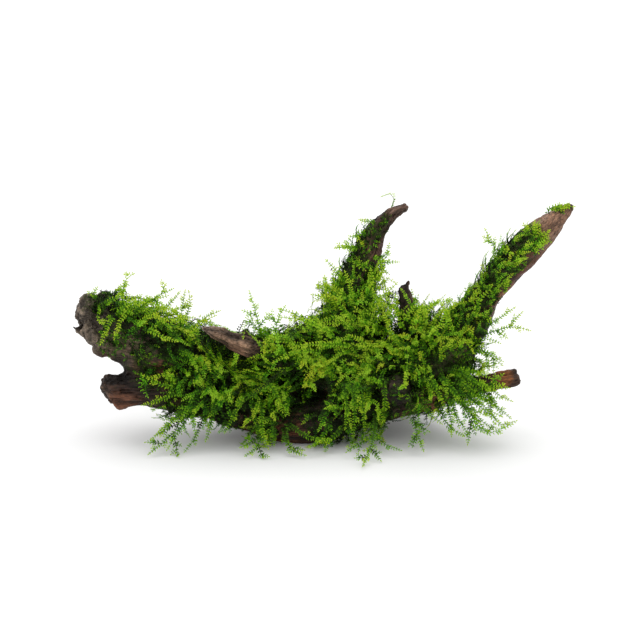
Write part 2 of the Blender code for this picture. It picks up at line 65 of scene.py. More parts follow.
# A limb counts as upright when its way rises more than this
STEEP = 0.8

# Centre lines of the limbs as (x, y, z, radius), each from its root to its tip
TRUNK = (
    (-77.5, 2, 37, 10.4),
    (-65, 2, 34, 11.6),
    (-48.5, 3, 28.5, 12.4),
    (-30.5, 4, 23, 13),
    (-8, 5, 20.5, 14),
    (12, 5, 20.5, 15),
    (32, 4, 23.5, 15),
    (47.5, 3, 29.5, 12.8),
    (53.5, 2, 37.5, 10.8),
)
LEFT_ARM = (
    (-65, 2, 35, 11.6),
    (-77, 3, 40, 10.9),
    (-85, 4, 44, 10.6),
    (-90, 5, 47.5, 10.2),
    (-92.4, 5, 49, 7.3),
)
FRONT_ROOT = (
    (-82, -8, 21.3, 6.7),
    (-74.5, -8, 21.5, 7.3),
    (-64.5, -7, 20, 7),
    (-44, -8, 16, 7),
    (-24, -9, 10, 7.4),
    (-8, -9, 6.6, 7.8),
    (8, -9, 10, 7.6),
    (22, -9, 14.5, 6.8),
    (36, -8, 17, 6),
    (50.5, -7, 20.5, 5),
    (64.5, -6.5, 23, 3.9),
    (79.3, -6, 26.2, 3),
)
SPIKE = (
    (10, 6, 30, 14),
    (11, 8, 44.5, 11.4),
    (13.5, 10, 56, 8.6),
    (16.5, 12, 66, 6.7),
    (19.7, 13, 75, 5.4),
    (23, 14, 82.5, 4.5),
    (29, 15, 88.5, 3.3),
    (35.4, 16, 91.4, 2.1),
)
SPIKE_FLARE = (
    (10, 3, 35, 9),
    (3, 2, 41, 6.6),
    (-4, 2, 41.5, 5),
    (-11, 2, 37.5, 4.4),
)
HORN = (
    (50.5, 3, 30, 12.2),
    (56, 2, 41, 9.2),
    (62, 0, 51, 7),
    (68, -2, 61, 6.2),
    (74, -4, 70, 6.7),
    (80, -6, 77.5, 6.9),
    (87, -7.5, 85, 6.1),
    (93, -8.5, 91.5, 4),
    (97, -9, 95.5, 1.8),
)
STUB = (
    (37, 2, 36, 4.6),
    (35.5, 0.5, 49, 3.5),
    (34, -0.5, 56.5, 3.1),
    (33.3, -1, 61, 2.7),
)
STUB_THORN = (
    (34, -1, 60, 1.7),
    (35, -1, 64, 1.2),
)
SPLINTER = (
    (-6, -2, 27, 7),
    (-18, -8, 34.5, 6.2),
    (-31.5, -13, 42, 4.1),
    (-39.5, -15, 46, 2.8),
    (-45, -16, 48.8, 1.5),
)
REAR_ROOT_LEFT = (
    (-20, 6, 19, 9),
    (-28, 20, 12, 7.4),
    (-35, 33, 6, 5.8),
    (-41, 44, 2.8, 3.8),
)
REAR_ROOT_RIGHT = (
    (22, 6, 19, 10),
    (31, 22, 12.5, 8),
    (38, 35, 6, 6.3),
    (49, 44.5, 3.6, 4.6),
    (57, 47, 4.4, 2.8),
)
ARM_NUB = (
    (-89, 0, 41, 3.6),
    (-95, -1, 43.4, 2.2),
    (-99, -1, 45.4, 1.1),
)

# Each limb's ridges round it, their depth as a share of the radius, its seed, and whether its end is round
LIMBS = (
    (TRUNK, 9, 0.08, 1, True),
    (LEFT_ARM, 9, 0.1, 2, True),
    (FRONT_ROOT, 7, 0.08, 3, False),
    (SPIKE, 7, 0.16, 4, False),
    (SPIKE_FLARE, 5, 0.12, 5, True),
    (HORN, 6, 0.09, 6, True),
    (STUB, 5, 0.1, 7, True),
    (STUB_THORN, 3, 0, 8, True),
    (SPLINTER, 8, 0.16, 9, True),
    (REAR_ROOT_LEFT, 6, 0.09, 10, True),
    (REAR_ROOT_RIGHT, 6, 0.09, 11, True),
    (ARM_NUB, 4, 0.1, 12, True),
)

# Burls and broken stubs fused to the limbs, as (x, y, z, radius)
BURLS = (
    (-92.5, 1, 55, 4.5),
    (-92.8, -2.5, 50.5, 4.2),
    (-91, -5, 44, 4.6),
    (-86.5, -5, 38, 4.2),
    (-94, 8, 47, 4.4),
    (-87, 9.5, 54, 4),
    (-82, -8, 21.3, 6.9),
    (-79.5, -10, 17, 3.4),
    (-75, -5, 31.8, 6),
    (-80, -5, 35.5, 4.8),
    (-28.5, -9, 42, 3),
    (-29.5, -9.5, 45.6, 1.7),
    (30.5, -13, 22.5, 6.6),
    (62.5, -5.5, 45.5, 4.2),
    (84.5, -3, 77, 3),
    (4, 21, 24, 6),
    (-55, 14, 31, 4.6),
)

# Pits in the wood, as (x, y, z) and half sizes
PITS = (
    ((-4, -9, 19.2), (7.4, 6, 3.7)),
    ((-61, -10, 29), (9, 3, 1.7)),
    ((-1, 22, 12), (9, 6, 3.4)),
)

# Where the limbs part from the trunk: a point, the way that the limb leaves, and half the cut's width
TRUNK_NODE = "driftwood_trunk"
FORKS = {
    "driftwood_left_arm": ((-79, 2, 41), (-0.94, 0.05, 0.32), 17),
    "driftwood_left_root": ((-74.5, -8, 20), (-1, 0, 0), 9),
    "driftwood_middle_spike": ((11, 8, 47), (0.1, 0.1, 1), 16),
    "driftwood_right_horn": ((58.5, 1, 45.5), (0.42, -0.12, 0.88), 15),
    "driftwood_right_root": ((52, -7, 21), (0.98, 0.03, 0.2), 8.5),
    "driftwood_stub": ((36, 0.7, 47), (-0.15, -0.12, 0.97), 6),
    "driftwood_splinter": ((-20, -8.7, 35.5), (-0.8, -0.3, 0.5), 9),
    "driftwood_rear_root_left": ((-29.5, 22.5, 11), (-0.5, 0.8, -0.3), 11),
    "driftwood_rear_root_right": ((32.5, 24.5, 11.4), (0.45, 0.8, -0.35), 12),
}
# How far a fork's box runs, the margin round it that the cut works in, and the cut's precision
FORK_REACH = 90
CUT_BAND = 2.5
CUT_PRECISION = 1e-4
# An island of this many points belongs to the box that holds more than this share of them
LARGE_ISLAND = 900
LEAST_INSIDE = 0.9
ISLAND_MARGIN = 0.1
BROWN_LIMBS = ("driftwood_right_horn", "driftwood_splinter", "driftwood_right_root")

# Grain of each limb: the centre line, depth of its grooves, their width, and their length
GRAIN = (
    (TRUNK, 0.55, 3, 18),
    (LEFT_ARM, 0.4, 3, 11),
    (FRONT_ROOT, 0.7, 2, 18),
    (SPIKE, 0.6, 1.9, 14),
    (SPIKE_FLARE, 0.5, 1.9, 12),
    (HORN, 0.28, 2, 24),
    (STUB, 0.4, 1.5, 9),
    (SPLINTER, 0.6, 1.4, 18),
    (REAR_ROOT_LEFT, 0.4, 2.4, 16),
    (REAR_ROOT_RIGHT, 0.4, 2.4, 16),
)
# The step of those lines, the parts that points are searched in, and how sharply limbs' grains part
GRAIN_STEP = 1.5
SEARCH_PARTS = 40
LIMB_BLEND = 9
# How far the grain bends, how long its bends are, and how far apart the limbs' patterns are taken
GRAIN_BEND = 0.8
GRAIN_BEND_SIZE = 6
GRAIN_APART = 400
# Fine grooves in the coarse ones: their size as shares of these, their sharpness, and both depths
FINE_SHARES = (0.4, 0.4, 0.45)
FINE_SHARPNESS = 3
FINE_DEPTH = 1.2
COARSE_DEPTH = 0.9

# Gnarled spots: place, reach, depth of the lumps, and their size
GNARLS = (
    ((-92, 0, 48), 17, 1.7, 3.1),
    ((-92, 0, 48), 17, 0.95, 1.4),
    ((-76, -4, 40), 12, 0.6, 2.6),
    ((-82, -8, 20), 8, 0.45, 2.6),
    ((-78, -12, 26), 8, 0.9, 1.9),
    ((30.5, -13, 22.5), 11, 1.3, 2.4),
    ((34, -1, 60), 6, 0.5, 1.5),
    ((34, 16, 91), 4, 0.3, 1.2),
    ((79, -6, 25.5), 3, 0.25, 1.2),
)
GNARL_RISE = 2
GNARL_FLOOR = 0.7
# Lumps all over the bark, and its slow bows, by their height and size
BARK_LUMP = 0.2
BARK_LUMP_SIZE = 2.2
BOW = 0.7
BOW_SIZE = 8
# Seeds of the wood's noises
FINE_SEED = 20
BEND_SEED = 40
BARK_SEED = 61
BOW_SEED = 67
GNARL_SEED = 71

# Colour of the wood as linear RGB: overall, then spots of (place), reach, colour, and the weights of both
PLAIN_WEIGHT = 0.35
SPOT_WEIGHT = 2.2
WOOD_COLOUR = (0.040, 0.020, 0.011)
WOOD_SPOTS = (
    ((-92, 0, 49), 17, (0.245, 0.190, 0.139)),
    ((-75, -5, 37), 13, (0.145, 0.100, 0.066)),
    ((-70, -12, 32), 6, (0.150, 0.060, 0.028)),
    ((-79, -9, 17), 12, (0.104, 0.038, 0.019)),
    ((-77, -11, 26), 7, (0.018, 0.010, 0.008)),
    ((-69, -12, 25), 7, (0.025, 0.014, 0.010)),
    ((-80, -12, 28), 6, (0.014, 0.010, 0.008)),
    # Painted highlight on the left root's end, over its own tan rim
    ((-86, -12, 21), 4, (0.170, 0.110, 0.075)),
    ((-61, -10, 29), 7, (0.170, 0.064, 0.028)),
    ((-35, -14, 45), 14, (0.240, 0.148, 0.094)),
    ((-34, -17, 39), 6, (0.080, 0.026, 0.012)),
    ((-44, -16, 49), 4, (0.260, 0.190, 0.140)),
    ((-29.5, -9.5, 46), 4, (0.020, 0.013, 0.012)),
    ((-20, -14, 7), 15, (0.100, 0.032, 0.013)),
    ((2, -17, 13), 11, (0.018, 0.011, 0.008)),
    ((-50, -14, 14), 10, (0.110, 0.036, 0.015)),
    ((46, -13, 17.5), 9, (0.250, 0.115, 0.048)),
    ((36, -14, 14), 7, (0.090, 0.045, 0.024)),
    ((30.5, -15, 23), 9, (0.012, 0.009, 0.007)),
    # Painted shade: a near-black spot in the hollow at the trunk's front
    ((-4, -6, 19.2), 9, (0.006, 0.004, 0.003)),
    ((5, -10, 20), 4, (0.130, 0.055, 0.035)),
    ((5, -16, 12), 9, (0.070, 0.030, 0.016)),
    ((57.5, -9, 35), 6, (0.130, 0.085, 0.045)),
    ((34, -1, 56), 9, (0.085, 0.050, 0.036)),
    ((20, 8, 74), 9, (0.110, 0.056, 0.034)),
    ((32, 14, 90), 8, (0.140, 0.082, 0.058)),
    ((-6, 0, 43), 8, (0.140, 0.068, 0.040)),
    ((66, -3, 54), 7, (0.120, 0.058, 0.030)),
    ((72, -6, 62), 8, (0.170, 0.070, 0.036)),
    ((82, -9, 74), 9, (0.130, 0.045, 0.022)),
    ((90, -8, 87), 13, (0.290, 0.160, 0.100)),
    ((66, -7, 23), 10, (0.085, 0.029, 0.011)),
    # Orange-brown on the right root's top: partly its own colour, partly a painted wet highlight
    ((73, -8.5, 27), 5, (0.230, 0.080, 0.022)),
    ((70, -7, 20.5), 5, (0.022, 0.011, 0.007)),
    ((77, -6, 22), 4, (0.028, 0.015, 0.010)),
    ((79.8, -6, 25.5), 3.2, (0.052, 0.047, 0.046)),
)

# Thin film of moss on the wood beyond the mats: place, reach and strength
FILM_SPOTS = (
    ((-82, -7, 42), 14, 0.75),
    ((-87, -4, 55), 7, 0.5),
    ((-70, -8, 34), 14, 0.8),
    ((-62, -10, 26), 11, 0.6),
    ((-68, -10, 26), 10, 0.85),
    ((16, 6, 72), 10, 0.72),
    ((22, 9, 82), 9, 0.8),
    ((27, 11, 87), 6, 0.6),
    ((57.5, -9, 35), 6, 0.45),
    ((30.5, -16, 23), 9, 0.8),
    ((81, -12, 74), 7, 0.5),
    ((62, -3, 54), 10, 0.5),
    ((93, -10, 95), 5, 0.6),
)
# The film near the mats: its strength, how far it is full and where it ends, and how much thin spots take
FILM_UNDER_MATS = 0.75
FILM_FULL = 0.5
FILM_REACH = 3.5
FILM_THINNING = 0.75
DARK_FILM = (0.010, 0.012, 0.004)
BRIGHT_FILM = (0.045, 0.070, 0.010)
FILM_ROUGHNESS = 0.25

# Patterns of the wood's colour, as scale along each axis, detail and roughness
FIBRES = ((1.6, 1.6, 0.13), 5, 0.6)
STREAKS = ((0.5, 0.5, 0.045), 3, 0.5)
LINES = ((3.4, 3.4, 0.2), 2, 0.5)
MOTTLE = ((900, 900, 900), 5, 0.6)
SPECKLE = ((1500, 1500, 1500), 3, 0.6)
PATCHES = ((300, 300, 300), 4, 0.6)
BUMP_STRENGTH = 0.85
BUMP_HEIGHT = 0.35
ROUGHNESS_SPREAD = 0.25
WOOD_GLOSS = 0.22

# Combing of the fronds: a place, the way that fronds lie there, their length, and how bright they are,
# darker low down and at the back as painted shade
COMBING = (
    # The left arm
    ((-86, -3, 57), (0.9, -0.35, 0.0), 5, 0.05),
    ((-84, -9, 50), (0.1, -0.3, -0.9), 7, 0.0),
    ((-73, -6, 52), (0.95, -0.2, 0.2), 10, 0.1),
    ((-70, -10, 44), (0.8, -0.2, -0.5), 6, 0.0),
    ((-60, -7, 46), (0.9, -0.1, 0.3), 10, 0.1),
    ((-72, 10, 48), (0.8, 0.4, -0.4), 9, 0.0),
    # The trunk's left part
    ((-50, -12, 36), (0.5, -0.2, -0.8), 8, 0.0),
    ((-55, -15, 26), (-0.5, -0.2, -0.7), 5.5, 0.0),
    ((-50, -17, 14), (-0.7, -0.3, -0.6), 9, 0.05),
    ((-38, -14, 33), (0.3, -0.3, -0.8), 7, 0.0),
    ((-35, -19, 18), (-0.5, -0.3, -0.8), 8, -0.1),
    ((-42, 3, 41), (0.8, 0.1, 0.15), 8, 0.1),
    ((-42, 14, 34), (-0.3, 0.5, -0.7), 10, 0.0),
    # The trunk's centre
    ((-20, -12, 36), (-0.8, -0.3, 0.1), 8, 0.1),
    ((-18, -17, 26), (-0.6, -0.2, -0.75), 11, 0.1),
    ((-24, -19, 12), (-0.4, -0.4, -0.8), 9, 0.0),
    ((-6, -12, 38), (-0.95, -0.1, 0.15), 12, 0.2),
    ((6, -14, 42), (-0.95, -0.1, 0.1), 12, 0.25),
    ((6, -17, 32), (-0.9, -0.2, -0.2), 10, 0.15),
    ((0, -20, 14), (-0.3, -0.3, -0.8), 8, -0.1),
    ((13, -20, 20), (0.05, -0.1, -1), 10, 0.05),
    ((0, 4, 43), (-0.8, 0.1, 0.2), 7, 0.1),
    ((0, 22, 30), (0.1, 0.5, -0.8), 11, 0.0),
    # The trunk's right part
    ((24, -13, 42), (-0.8, -0.2, 0.3), 10, 0.24),
    ((30, -13, 36), (-0.6, -0.3, -0.5), 7, 0.14),
    ((42, -13, 38), (-0.4, -0.2, 0.7), 8, 0.2),
    ((42, -15, 28), (-0.5, -0.3, -0.8), 7, 0.1),
    ((54, -10, 36), (0.5, -0.2, 0.6), 7, 0.15),
    ((56, -12, 26), (0.5, -0.3, -0.7), 8, 0.2),
    ((62, -6, 28), (0.8, -0.2, -0.2), 7, 0.25),
    ((40, 3, 45), (0.2, 0.1, 0.9), 9, 0.1),
    ((40, 17, 32), (0.3, 0.5, -0.7), 10, 0.0),
    # The spike
    ((4, 2, 56), (-0.6, -0.4, 0.6), 5, 0.15),
    ((14, -1, 53), (-0.3, -0.4, 0.85), 8, 0.1),
    ((22, 4, 60), (0.6, -0.3, 0.7), 6, 0.15),
    ((10, 6, 68), (-0.3, -0.3, 0.9), 4, 0.0),
    ((17, 8, 79), (-0.3, -0.2, 0.9), 4, 0.0),
    ((22, 18, 60), (0.4, 0.6, 0.6), 7, 0.0),
    # The horn
    ((57, -8, 46), (0.2, -0.3, 0.9), 6, 0.05),
    ((63, -8, 58), (0.3, -0.3, 0.9), 5, 0.0),
    ((69, -11, 70), (0.5, -0.3, 0.8), 5, 0.1),
    ((79, -13, 80), (0.7, -0.3, 0.6), 4.5, 0.25),
    ((93, -10, 94), (0.6, -0.4, 0.1), 3, 0.2),
    ((60, 8, 52), (0.3, 0.4, 0.8), 7, 0.0),
)

# Long shoots: points of the stem, then its branches as (share along, side, length)
LONG_SHOOTS = {
    "shoot_left_arm_top": (
        ((-79, -4, 55), (-78.3, -4.5, 61.5), (-77, -5, 66.5), (-76, -5, 68.6), (-74.3, -5, 68.2)),
        ((0.3, -1, 3),),
    ),
    "shoot_left_arm_rise": (
        ((-74, -5, 52), (-67, -6, 58), (-58.5, -7, 62.5)),
        ((0.5, 1, 5), (0.75, -1, 4)),
    ),
    "shoot_left_saddle": (
        ((-56, -5, 44), (-55, -6, 53), (-53.5, -7, 61.5)),
        ((0.35, -1, 6), (0.6, 1, 4)),
    ),
    "shoot_saddle_reaching": (
        ((-52, -7, 44), (-46, -8, 51), (-40, -9, 54)),
        ((0.5, 1, 5),),
    ),
    "shoot_middle_top": (
        ((-23, -8, 40), (-25, -9, 52), (-27.8, -10, 62)),
        ((0.35, 1, 7), (0.55, -1, 6)),
    ),
    "shoot_middle_leaning": (
        ((-18, -8, 41), (-17, -9, 50), (-14, -10, 56)),
        ((0.5, -1, 6),),
    ),
    "shoot_left_trailing": (
        ((-54, -16, 17), (-57, -23, 9), (-67, -30, 1.8)),
        ((0.3, 1, 10), (0.5, -1, 11), (0.75, 1, 6)),
    ),
    "shoot_centre_trailing": (
        ((-22, -20, 11), (-24, -27, 4.5), (-29, -32, 1.6)),
        ((0.35, 1, 9), (0.6, -1, 8)),
    ),
    "shoot_centre_surface": (
        ((-14, -21, 8), (-12, -28, 3), (-6, -32, 1.8)),
        ((0.5, -1, 6),),
    ),
    "shoot_front_trailing": (
        ((22, -20, 13), (20, -31, 5), (16.5, -44, 1.6)),
        ((0.3, 1, 12), (0.55, -1, 6), (0.75, 1, 5)),
    ),
    "shoot_front_right_trailing": (
        ((36, -18, 18), (38, -25, 9), (40.5, -29, 3)),
        ((0.4, -1, 6), (0.65, 1, 5)),
    ),
    "shoot_right_trailing": (
        ((54, -14, 24), (58, -22, 15), (66, -27, 9), (75, -25, 12)),
        ((0.25, -1, 9), (0.45, 1, 9), (0.7, -1, 5)),
    ),
    "shoot_right_low": (
        ((56, -12, 28), (64, -16, 25), (74.5, -18, 25)),
        ((0.4, 1, 7), (0.6, -1, 8)),
    ),
    "shoot_right_side": (
        ((62, -5, 38), (67, -8, 36), (72.5, -9, 32)),
        ((0.4, 1, 7), (0.65, 1, 5)),
    ),
    "shoot_right_reaching": (
        ((65, -7, 43.5), (75.6, -10, 48), (82.9, -11, 46.7)),
        ((0.3, 1, 5), (0.58, -1, 8)),
    ),
    "shoot_horn": (
        ((70, -8.5, 77), (67.5, -9, 82), (64.8, -9.5, 87)),
        ((0.5, -1, 3),),
    ),
    "shoot_spike_left": (
        ((7, 5, 55.5), (2.5, 3, 59.5), (-0.8, 2, 61.5)),
        ((0.4, -1, 7), (0.6, 1, 5)),
    ),
    "shoot_spike_top": (
        ((14, 9, 75), (10, 7, 76.3), (6.8, 6, 76.6)),
        ((0.4, 1, 3),),
    ),
    "shoot_rear": (
        ((2, 24, 26), (0, 32, 14), (-4, 39, 5)),
        ((0.4, 1, 8), (0.65, -1, 6)),
    ),
}
# Leaves of single stems face the front, or the rear where the stem lies behind this depth
FACING = (0, -0.85, 0.5)
REAR_FACING = (0, 0.85, 0.5)
REAR = 15
# How far the branches lean off their stem, and the least height of any stem over the ground
BRANCH_LEAN = math.radians(50)
LOWEST_TIP = 1.2

# Single fronds that stand out, as points of the stem, by the mat that they grow from
SINGLE_FRONDS = {
    "moss_left_arm": (
        ((-82.5, -9, 51.2), (-84.7, -12, 47.1), (-86.6, -14, 42.3)),
        ((-89.4, -3, 57.1), (-90.0, -4, 60.2), (-88.6, -5, 62.5)),
        ((-76.2, -8, 54.3), (-79.9, -12, 49.2), (-81.4, -14, 44.4)),
        ((-71.4, -8, 56.3), (-66.5, -9, 58.6), (-60.9, -9, 60.2)),
        ((-63.5, -8, 53.4), (-58.6, -9, 58.6), (-56.0, -10, 62.1)),
        ((-67.3, -12, 47.1), (-61.2, -14, 44.4), (-56.8, -15, 43.4)),
        ((-85.2, -5, 56.3), (-79.3, -7, 59.7), (-74.1, -8, 59.6)),
        ((-61.6, -8, 51.0), (-57.1, -8, 54.7), (-53.1, -8, 55.9)),
        ((-71, -9, 50), (-66, -11, 52.5), (-60.5, -12, 51)),
        ((-68, -8, 52), (-63, -9, 55.5), (-57.5, -10, 55)),
        ((-80, -7, 53), (-75.5, -8, 57), (-70, -9, 57.5)),
        ((-64, -9, 49), (-59, -10, 51.5), (-53.5, -11, 50)),
        ((-60, -9, 48), (-55.5, -10, 51.5), (-50, -11, 52)),
        ((-76, -6, 55), (-71, -7, 57), (-66, -7, 56.5)),
        ((-72, -4, 54), (-67, -5, 56), (-62, -6, 54.5)),
        ((-70, -6, 53), (-65, -7, 55), (-60, -8, 53)),
        ((-74, -2, 55), (-69, -3, 57.2), (-64, -4, 56)),
        ((-68, -3, 53), (-63, -4, 54.5), (-58, -5, 52.5)),
        ((-78, -4, 57), (-73, -5, 58.5), (-68, -6, 58)),
    ),
    "moss_trunk_left": (
        ((-55.5, -16, 25.6), (-61.3, -18, 25.8), (-69.4, -19, 30.2)),
        ((-55.4, -18, 23.3), (-63.3, -19, 20.3), (-70.0, -20, 18.6)),
        ((-58.6, -16, 31.0), (-64.0, -18, 29.9), (-67.9, -19, 29.4)),
        ((-51.7, -9, 43.0), (-46.8, -9, 49.6), (-41.6, -10, 52.3)),
        ((-53.7, -7, 50.7), (-51.6, -7, 58.1), (-52.3, -7, 61.4)),
        ((-47.5, -18, 22.1), (-50.6, -21, 16.0), (-49.0, -24, 7.0)),
        ((-51.6, -17, 19.7), (-56.1, -22, 14.6), (-63.0, -26, 10.1)),
        ((-44.4, -18, 17.9), (-42.7, -22, 13.0), (-45.0, -25, 5.7)),
        ((-50, -18, 16), (-56, -24, 9), (-60, -28, 3)),
        ((-54, -17, 18), (-60, -23, 11), (-66, -27, 7)),
        ((-46, -18, 14), (-49, -24, 7), (-53, -29, 2.5)),
    ),
    "moss_trunk_centre": (
        ((-14.2, -20, 33.0), (-25.2, -23, 24.9), (-30.7, -24, 21.5), (-37.4, -26, 9.3)),
        ((-22.5, -20, 30.1), (-17.7, -23, 24.5), (-15.0, -24, 17.3)),
        ((9.5, -20, 26.8), (10.7, -22, 17.9), (9.9, -23, 10.0)),
        ((12.6, -20, 26.8), (13.8, -22, 17.1), (13.1, -23, 6.7)),
        ((16.2, -20, 26.4), (17.0, -22, 17.9), (17.8, -22, 8.8)),
        ((0.0, -16, 39.2), (-9.4, -18, 39.8), (-18.1, -20, 36.3)),
        ((9.9, -16, 42.1), (-0.8, -18, 43.1), (-11.0, -19, 41.7)),
        ((23.7, -13, 49.0), (11.8, -15, 51.2), (-0.8, -16, 50.3)),
        ((20.5, -12, 52.0), (5.9, -14, 52.6), (-4.7, -15, 49.6)),
        ((4.0, -12, 46.3), (-6.3, -12, 51.2), (-15.4, -12, 52.4)),
        ((-4.0, -10, 48.2), (-9.5, -10, 53.1), (-15.8, -10, 55.2)),
        ((-7.9, -14, 41.5), (-17.8, -15, 43.8), (-22.9, -17, 40.3)),
        ((4.0, -20, 12.3), (0.8, -26, 6.8), (-3.9, -30, 4.5)),
        ((9.9, -20, 10.2), (3.9, -25, 5.7), (-0.8, -28, 6.3)),
        ((-22.9, -20, 18.6), (-22.9, -25, 9.8), (-20.5, -28, 3.4)),
        ((-11.9, -20, 10.2), (-3.9, -27, 7.2), (3.9, -30, 7.4)),
        ((22.1, -16, 39.2), (18.1, -17, 42.8), (12.6, -18, 46.3)),
    ),
    "moss_trunk_right": (
        ((31.6, -14, 41.5), (27.6, -14, 47.7), (25.2, -14, 55.0)),
        ((43.5, -14, 43.6), (47.3, -14, 49.7), (50.0, -13, 55.6)),
        ((52.4, -10, 46.6), (49.9, -10, 54.8), (47.4, -10, 57.6)),
        ((39.6, -12, 47.1), (41.1, -12, 52.9), (44.2, -12, 57.3)),
        ((25.3, -18, 28.3), (25.7, -20, 19.8), (24.9, -21, 12.6)),
        ((39.7, -17, 19.7), (43.6, -20, 14.8), (47.8, -22, 11.7)),
        ((47.7, -15, 20.7), (53.5, -18, 19.2), (59.4, -19, 19.5)),
        ((52.6, -13, 24.7), (61.6, -15, 24.0), (72.5, -17, 26.3)),
        ((51.7, -14, 22.9), (62.8, -16, 21.0), (71.3, -18, 20.8)),
        ((55.7, -12, 29.8), (62.0, -13, 30.1), (67.5, -14, 27.9)),
        ((59.8, -9, 37.2), (66.2, -9, 37.2), (72.6, -9, 33.5)),
        ((61.4, -8, 39.8), (65.3, -8, 42.7), (71.4, -8, 40.7)),
        ((41.5, -17, 28.8), (46.6, -19, 23.6), (49.9, -20, 16.5)),
        ((59.6, -17, 18.9), (62.6, -20, 13.2), (68.1, -22, 9.6)),
        ((23.9, -18, 10.0), (22.1, -24, 6.6), (26.7, -28, 4.2), (31.4, -30, 3.2)),
        ((36.5, -8, 46), (37.5, -9, 51), (39.5, -10, 55)),
        ((41, -6, 47), (42, -7, 52), (41, -8, 56)),
        ((45, -6, 47), (46.5, -7, 51.5), (49, -8, 54.5)),
        ((48.5, -4, 47), (49.5, -5, 52), (48.5, -6, 56)),
        ((33, -8, 47), (31.5, -9, 51), (30, -10, 54.5)),
        ((28, -4, 50), (28, -5, 55), (26.5, -6, 59)),
        ((31, -6, 52), (30.2, -6, 56), (30, -6, 59.5)),
        ((36.5, -4, 53), (37, -4, 57), (36.8, -4, 61)),
        ((40, -6, 53), (45, -6, 56.5), (51, -6, 57.5), (56, -6, 56.5)),
        ((38, -5, 54), (43, -5, 54.5), (47, -5, 57.5)),
        ((50, -6, 52), (53, -6, 55.5), (57.5, -6, 57)),
        ((34, -8, 50), (35, -8.5, 53.5), (37.5, -9, 56)),
        ((64, -14, 24), (69, -17, 19), (72, -19, 14)),
        ((66, -13, 25), (71, -15, 21), (76, -16, 19)),
        ((68, -22, 14), (73, -24, 11), (77, -24, 13)),
        ((56, -13, 30), (62, -16, 27), (69, -17, 24)),
        ((54, -13, 28), (60, -16, 23), (66, -18, 19.5)),
        ((52, -14, 25), (56, -18, 19), (61, -20, 15)),
        ((50, -14, 24), (53, -18, 17), (55, -21, 10)),
        ((52, -16, 20), (54, -20, 14), (58.5, -24, 8)),
        ((49, -14, 27), (54, -17, 22), (57, -19, 16)),
        ((56, -14, 21), (60, -20, 14), (64, -24, 9)),
        ((58, -13, 22), (66, -20, 17), (71, -23, 15)),
        ((50, -14, 19), (52, -19, 12), (52, -23, 7)),
        ((47, -14, 18), (50, -21, 11), (56, -26, 8)),
        ((58, -16, 22), (64, -20, 17), (70, -23, 13.5)),
        ((60, -14, 23), (68, -19, 19), (75, -22, 14)),
        ((56, -18, 19), (62, -22, 13), (66, -25, 9)),
        ((22, -4, 48), (26, -6, 51.5), (29, -7, 56)),
        ((37, -8, 49), (39.5, -9, 53), (39, -10, 57)),
    ),
    "moss_middle_spike": (
        ((13.2, 5, 76.9), (10.0, 3, 77.4), (6.4, 2, 77.2)),
        ((16.4, 6, 82.4), (14.0, 5, 81.0), (12.0, 4, 81.6)),
        ((20.8, 8, 86.9), (18.4, 6, 86.9), (16.0, 5, 88.0)),
        ((7.2, 1, 59.3), (2.4, 0, 61.7), (-0.8, 0, 62.5)),
        ((8.8, 3, 64.6), (5.6, 2, 69.0), (2.8, 1, 72.1)),
        ((25.3, 7, 69.9), (28.1, 6, 70.5), (31.3, 6, 70.5)),
        ((25.4, 8, 71.7), (27.0, 8, 74.2), (27.7, 8, 77.1)),
        ((25.3, 4, 61.5), (27.3, 3, 64.6), (29.7, 2, 63.2)),
        ((24.1, 2, 55.8), (27.6, 0, 60.0), (30.4, 0, 62.9)),
        ((23.3, 0, 54.2), (27.2, -2, 56.8), (30.7, -3, 56.2)),
        ((18.4, 0, 56.3), (20.8, -1, 62.7), (20.3, 0, 68.6)),
        ((12.8, -2, 56.8), (12.0, -2, 63.0), (10.0, 0, 67.8)),
        ((6.4, -3, 55.0), (4.0, -4, 59.4), (0.8, -5, 58.4)),
        ((10.0, -6, 52.9), (7.1, -7, 58.1), (8.7, -6, 61.9)),
        ((7, 2, 57), (3, 0, 61), (2, -1, 66)),
        ((8, 1, 60), (5, -1, 64), (5.5, -2, 68.5)),
        ((5, 0, 55), (1, -1, 58), (-3, -2, 59)),
        ((9, 0, 58), (6, -2, 62), (2.5, -3, 63.5)),
        ((22.3, 5, 68), (25.2, 4, 68.5), (27.6, 4, 66.5)),
        ((22.0, 5, 65.5), (24.6, 4, 64.5), (26.0, 3, 61)),
        ((21.5, 4, 63), (24.0, 3, 65.5), (25.5, 3, 68)),
        ((21.5, 3, 60.5), (24.5, 2, 60), (27.5, 1, 61)),
        ((21.0, 2, 58), (24.2, 0, 57), (26.8, -1, 53.5)),
        ((22.8, 6, 72), (24.6, 5, 70), (25.2, 5, 67)),
        ((21.5, 1, 56), (25.5, -1, 58.5), (28.5, -2, 59.5)),
        ((22.0, -1, 53), (26.0, -3, 53.5), (29.5, -4, 52)),
        ((21, -3, 50), (24, -5, 54), (24.5, -6, 59)),
        ((20, -3, 53), (22, -5, 57), (21, -6, 62)),
        ((19, -2, 51), (21.5, -4, 54.5), (25.5, -5, 56)),
    ),
    "moss_right_horn": (
        ((84.3, -13, 83.8), (86.4, -14, 86.0), (88.7, -14, 87.6)),
        ((83.5, -13, 84.6), (84.0, -14, 88.4), (83.5, -14, 91.2)),
        ((85.1, -13, 82.6), (86.9, -14, 82.4), (88.5, -14, 83.2)),
        ((81.9, -13, 85.4), (80.1, -14, 88.0), (79.3, -14, 90.0)),
        ((82.7, -13, 82.2), (84.2, -14, 80.8), (85.1, -14, 79.2)),
        ((88.5, -10, 94.9), (92.4, -11, 97.1), (95.6, -11, 96.3)),
        ((90.4, -11, 95.1), (93.0, -12, 96.4), (95.2, -12, 96.6)),
        ((71.1, -9, 64.7), (70.0, -10, 70.2), (72.7, -10, 74.3)),
        ((73.0, -10, 62.1), (73.6, -11, 66.4), (75.5, -11, 69.3)),
        ((78.5, -11, 74.5), (79.4, -12, 79.6), (81.7, -12, 82.4)),
        ((61.8, -9, 54.5), (63.6, -10, 59.7), (66.7, -10, 62.9)),
